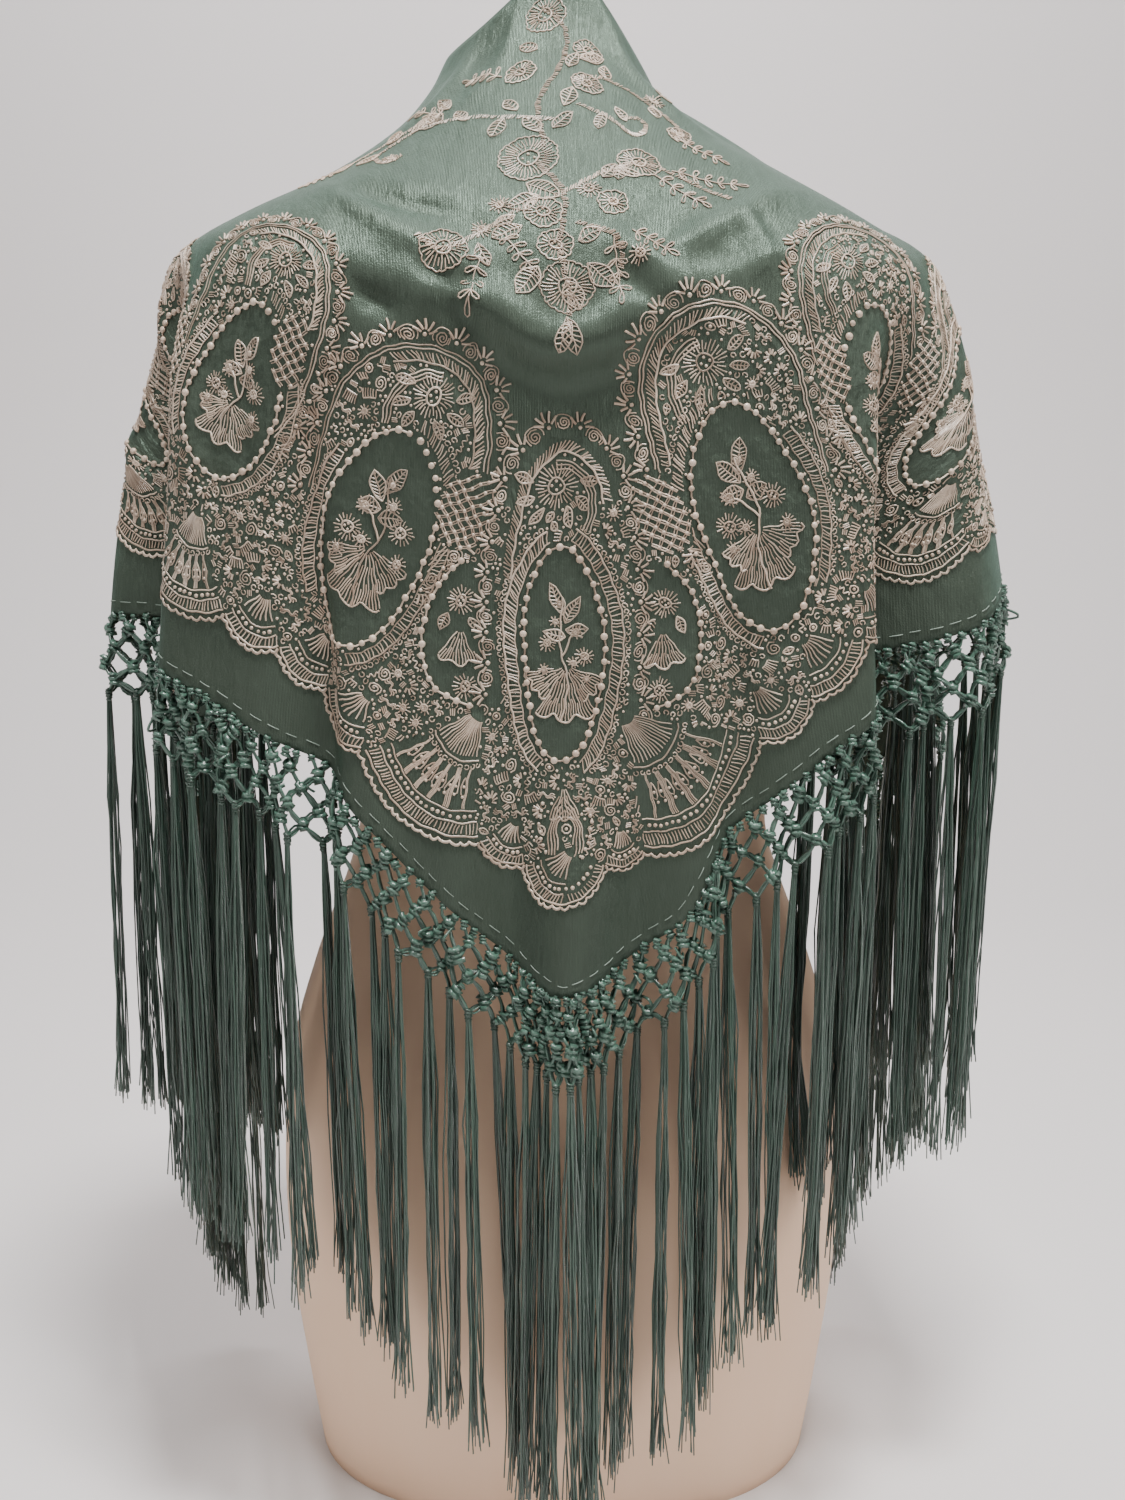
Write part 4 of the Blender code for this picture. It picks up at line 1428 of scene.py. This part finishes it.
def kept_clear(point):
    """The point, moved out from the axis where it would reach the form."""
    across, along, z = point
    least = form_radius_at(math.atan2(across, -along), z) + FORM_CLEARANCE
    scale = max(1.0, least / math.hypot(across, along))
    return np.array([across * scale, along * scale, z])


def hem_from_corner(side):
    """Points of the hem from the corner outwards, and the count of tassels up to each.

    The edge is gathered at the folds, so tassels stand closer there.
    """
    last = RIGHT_EDGE_ANGLE if side > 0 else LEFT_EDGE_ANGLE
    fine = np.radians(np.linspace(side * NET_PARTING_ANGLE, last, 1201))
    points = on_cloth([hem_place(angle) for angle in fine])
    steps = np.linalg.norm(np.diff(points, axis=0), axis=1)
    middles = np.degrees(0.5 * (fine[1:] + fine[:-1]))
    for gather, fullness in GATHERS:
        steps = steps * (1 + fullness * np.exp(-(((middles - gather) / GATHER_WIDTH) ** 2)))
    along = np.concatenate([[0], np.cumsum(steps)])
    return points, along / along[-1] * TASSELS_PER_SIDE


def net_point(side, place, drop, rng, stray=NET_STRAY):
    """A point of the net below a place along the hem, a little out of true."""
    points, along = hem_tables[side]
    top = read_off(place, along, points)
    away = outwards(np.array(math.atan2(top[0], -top[1])))
    ripple = RIPPLE * min(1.0, drop / 0.03) * math.sin(2.1 * place + 0.7 * math.sin(0.9 * place))
    point = top - np.array([0, 0, drop]) + ripple * away
    return kept_clear(point + rng.normal(0, stray, 3))


def knots_tree():
    """A wound knot on each point: turns of cord round a core, upright and as large as stored."""
    inputs = {"Turns": "Float", "Wrap radius": "Float", "Height": "Float", "Material": "Material"}
    tree, start, end = tree_for("wound_knots", inputs)
    radius, height = start.outputs["Wrap radius"], start.outputs["Height"]
    sockets = {
        "Resolution": 6,
        "Rotations": start.outputs["Turns"],
        "Start Radius": radius,
        "End Radius": radius,
        "Height": height,
    }
    coil = added(tree, "GeometryNodeCurveSpiral", sockets)
    sockets = {"Resolution": 3, "Radius": WRAPPING_CORD}
    profile = added(tree, "GeometryNodeCurvePrimitiveCircle", sockets)
    sockets = {"Curve": coil, "Profile Curve": profile, "Fill Caps": True}
    wound = added(tree, "GeometryNodeCurveToMesh", sockets)
    lowered = added(tree, "ShaderNodeMath", {0: height, 1: -0.5}, operation="MULTIPLY")
    sockets = {"Geometry": wound, "Translation": added(tree, "ShaderNodeCombineXYZ", {"Z": lowered})}
    centred = added(tree, "GeometryNodeTransform", sockets)
    core = added(tree, "GeometryNodeMeshIcoSphere", {"Radius": radius, "Subdivisions": 1})
    sockets = {"Geometry": core, "Scale": (1.0, 1.0, 1.5)}
    long_core = added(tree, "GeometryNodeTransform", sockets)
    both = added(tree, "GeometryNodeJoinGeometry")
    tree.links.new(centred, both.node.inputs[0])
    tree.links.new(long_core, both.node.inputs[0])
    return put_on_points(tree, start, end, both)


KNOTS = knots_tree()


def wound_knots(name, points, sizes, turns, wraps, material):
    """One object of wound knots."""
    inputs = {
        "Turns": wraps,
        "Wrap radius": WRAP_RADIUS,
        "Height": KNOT_HEIGHT,
        "Material": material,
    }
    mesh = plain_mesh(name, point_mesh(name, points, sizes, turns), KNOTS, inputs)
    return object_of(name, mesh, material)


def joined(name, parts):
    """Plain objects as one."""
    with bpy.context.temp_override(
        active_object=parts[0], selected_objects=parts, selected_editable_objects=parts
    ):
        bpy.ops.object.join()
    parts[0].name = name
    parts[0].data.name = name
    return parts[0]


def bowed(start, end, bow, spread, steps=4):
    """A slack strand between two knots."""
    shares = np.linspace(0, 1, steps + 1)[:, None]
    line = start + shares * (end - start)
    return line + np.sin(math.pi * shares) * bow + np.sin(2 * math.pi * shares) * spread


def tassel(head, rng):
    """The threads of one tassel: narrow below its head, open lower down and frayed at its end."""
    sway = rng.normal(0, TASSEL_SWAY, 2)
    length = TASSEL_LENGTH + rng.normal(0, TASSEL_SPREAD)
    fullness = rng.uniform(0.80, 1.12)
    paths = []
    for _ in range(THREADS_PER_TASSEL):
        around = rng.uniform(0, 2 * math.pi)
        reach = math.sqrt(rng.uniform(0.05, 1.0)) * TASSEL_REACH * fullness
        own = length + rng.normal(0, THREAD_SPREAD) - abs(rng.normal(0, TASSEL_SPREAD))
        wander = rng.normal(0, THREAD_WANDER, (TASSEL_POINTS, 2))
        wander[0] = 0
        fray = rng.normal(0, THREAD_FRAY, 2)
        path = []
        for step in range(TASSEL_POINTS):
            share = step / (TASSEL_POINTS - 1)
            opened = 0.30 + 0.70 * smooth_step(share, 0.02, 0.30)
            offset = opened * reach * np.array([math.cos(around), math.sin(around)])
            offset = offset + share * sway + wander[step] + fray * smooth_step(share, 0.8, 1.0)
            path.append(kept_clear(head + np.array([*offset, -own * share])))
        paths.append(np.array(path))
    return paths


hem_tables = {side: hem_from_corner(side) for side in (-1, 1)}
thread_green = thread_finish(
    "green_silk_thread", (0.010, 0.029, 0.020), (0.048, 0.104, 0.075), (0.068, 0.132, 0.095), 0.26
)
# The net's cord is lighter than the tassels' thread: its own green, lightened with a painted
# highlight so that the cords and knots look lit.
cord_green_with_painted_highlight = thread_finish(
    "green_silk_cord_painted_highlight", (0.016, 0.046, 0.033), (0.098, 0.200, 0.150), (0.085, 0.175, 0.128), 0.24
)
for side, word in ((-1, "left"), (1, "right")):
    rng = np.random.default_rng(41 + side)
    cord_paths = []
    knot_points = []
    knot_sizes = []
    rows = []
    for number, drop in enumerate(ROW_DROPS):
        if number == 0:
            spots = np.arange(2 * TASSELS_PER_SIDE) * 0.5 + 0.25
        elif number % 2:
            spots = np.arange(TASSELS_PER_SIDE) + 0.5
        else:
            spots = np.arange(TASSELS_PER_SIDE + 1)
        rows.append([(spot, net_point(side, spot, drop, rng)) for spot in spots])
        size = NET_KNOT if number else HEM_KNOT
        knot_points += [point for _, point in rows[-1]]
        knot_sizes += [size * rng.uniform(0.88, 1.14) for _ in spots]
    heads = []
    for number in range(TASSELS_PER_SIDE):
        heads.append((number + 0.5, net_point(side, number + 0.5, HEAD_DROP, rng, HEAD_STRAY)))
    rows.append(heads)
    for upper, lower in zip(rows, rows[1:]):
        for spot, point in lower:
            for near, other in upper:
                if abs(near - spot) < 0.55:
                    gap = other - point
                    level = np.array([-gap[1], gap[0], 0.0])
                    level /= max(np.linalg.norm(level), 1e-6)
                    slack = rng.normal(0, NET_STRAY, 3)
                    for way in (-1, 0, 1):
                        spread = way * CORD_SPREAD * (np.array([0, 0, 1.0]) + 0.6 * level)
                        bow = slack + spread + rng.normal(0, 0.0002, 3)
                        cord_paths.append(bowed(point, other, bow, 0.3 * spread))
    for spot in rng.uniform(0.5, TASSELS_PER_SIDE - 0.5, LOOSE_LOOPS):
        number = int(rng.integers(1, 4))
        first = net_point(side, spot, ROW_DROPS[number], rng)
        last = net_point(side, spot + rng.uniform(0.3, 0.5), ROW_DROPS[number + 1], rng)
        away = outwards(np.array(math.atan2(first[0], -first[1])))
        cord_paths.append(bowed(first, last, 0.0035 * away + rng.normal(0, 0.0016, 3), 0, 7))
    turns = [(rng.normal(0, 0.22), rng.normal(0, 0.22), rng.uniform(0, 6.28)) for _ in knot_points]
    cords = strands("net_cords", cord_paths, [CORD_RADIUS] * len(cord_paths), cord_green_with_painted_highlight, 3)
    knots = wound_knots("net_knots", knot_points, knot_sizes, turns, 2.4, cord_green_with_painted_highlight)
    net = joined("net_" + word, [cords, knots])
    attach(net, "root")
    thread_paths = []
    head_points = []
    for _, head in heads:
        thread_paths += tassel(head, rng)
        head_points += [head, head - np.array([0, 0, HEAD_STEP])]
    radii = [np.linspace(THREAD_AT_HEAD, THREAD_AT_END, TASSEL_POINTS)] * len(thread_paths)
    threads = strands("threads", thread_paths, radii, thread_green, 3)
    turns = [(0, 0, rng.uniform(0, 6.28)) for _ in head_points]
    head_sizes = HEAD_SIZES * TASSELS_PER_SIDE
    bindings = wound_knots("tassel_heads", head_points, head_sizes, turns, 2.9, thread_green)
    tassels = joined("tassels_" + word, [threads, bindings])
    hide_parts("fringe_" + word)
    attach(tassels, "root")

# The room: one pale seamless sheet that runs along the floor and up behind, wide soft lights
# above and to the front, and the camera at the photograph's height and pitch.

sweep_profile = [(-3.0, 0.0), (1.1, 0.0)]
for step in range(1, 13):
    angle = math.pi / 2 * step / 12
    sweep_profile.append((1.1 + 0.9 * math.sin(angle), 0.9 - 0.9 * math.cos(angle)))
sweep_profile.append((2.0, 4.0))
sweep_points = [(x, y, z) for y, z in sweep_profile for x in (-4.0, 4.0)]
sweep_faces = [(2 * i, 2 * i + 1, 2 * i + 3, 2 * i + 2) for i in range(len(sweep_profile) - 1)]
sweep_mesh = bpy.data.meshes.new("backdrop")
sweep_mesh.from_pydata(sweep_points, [], sweep_faces)
paper = Finish("pale_backdrop", Roughness=0.9, Specular_IOR_Level=0.1)
paper_tone = paper.noise(paper.stretched(paper.place(), (0.9, 0.3, 0.25)), 1.2, 2.0)
paper.feed("Base Color", paper.mix(paper_tone, (0.80, 0.775, 0.78), (0.86, 0.835, 0.84)))
backdrop = object_of("backdrop", sweep_mesh, paper.material)

world = bpy.data.worlds.new("studio")
bpy.context.scene.world = world
world.use_nodes = True
daylight = world.node_tree.nodes["Background"].inputs
daylight["Color"].default_value = (0.98, 0.95, 0.95, 1.0)
daylight["Strength"].default_value = 0.17


def soft_light(name, place, target, size, power, colour):
    """A wide area light that points at a place."""
    data = bpy.data.lights.new(name, "AREA")
    data.shape = "RECTANGLE"
    data.size, data.size_y = size
    data.energy = power
    data.color = colour
    lamp = bpy.data.objects.new(name, data)
    bpy.context.scene.collection.objects.link(lamp)
    lamp.location = place
    aim = Vector(target) - Vector(place)
    lamp.rotation_euler = aim.to_track_quat("-Z", "Y").to_euler()


KEY_WHITE = (1.0, 0.985, 0.965)
FILL_WARM = (1.0, 0.95, 0.90)
SHEET_WHITE = (1.0, 0.98, 0.975)
soft_light("overhead", (0.12, -0.42, 1.9), (0.0, -0.08, 0.60), (0.34, 0.26), 42.0, KEY_WHITE)
soft_light("left_fill", (-1.9, -1.3, 1.2), (0.0, 0.0, 0.26), (1.0, 1.4), 16.0, FILL_WARM)
soft_light("right_fill", (1.9, -1.2, 1.3), (0.0, 0.0, 0.26), (1.0, 1.4), 24.0, FILL_WARM)
soft_light("backdrop_light", (0.0, 0.9, 2.8), (0.0, 2.0, 0.9), (2.6, 0.8), 49.0, SHEET_WHITE)

PHOTO_FOCAL = 1400 / 1500
CAMERA_PLACE = (0.0, -0.80, 0.575)
CAMERA_PITCH = 10.5
camera_data = bpy.data.cameras.new("photo_camera")
camera_data.sensor_fit = "VERTICAL"
camera_data.sensor_height = 36.0
camera_data.lens = 36.0 * PHOTO_FOCAL
camera = bpy.data.objects.new("photo_camera", camera_data)
camera.location = CAMERA_PLACE
camera.rotation_euler = (math.radians(90 - CAMERA_PITCH), 0, 0)
bpy.context.scene.collection.objects.link(camera)
bpy.context.scene.camera = camera
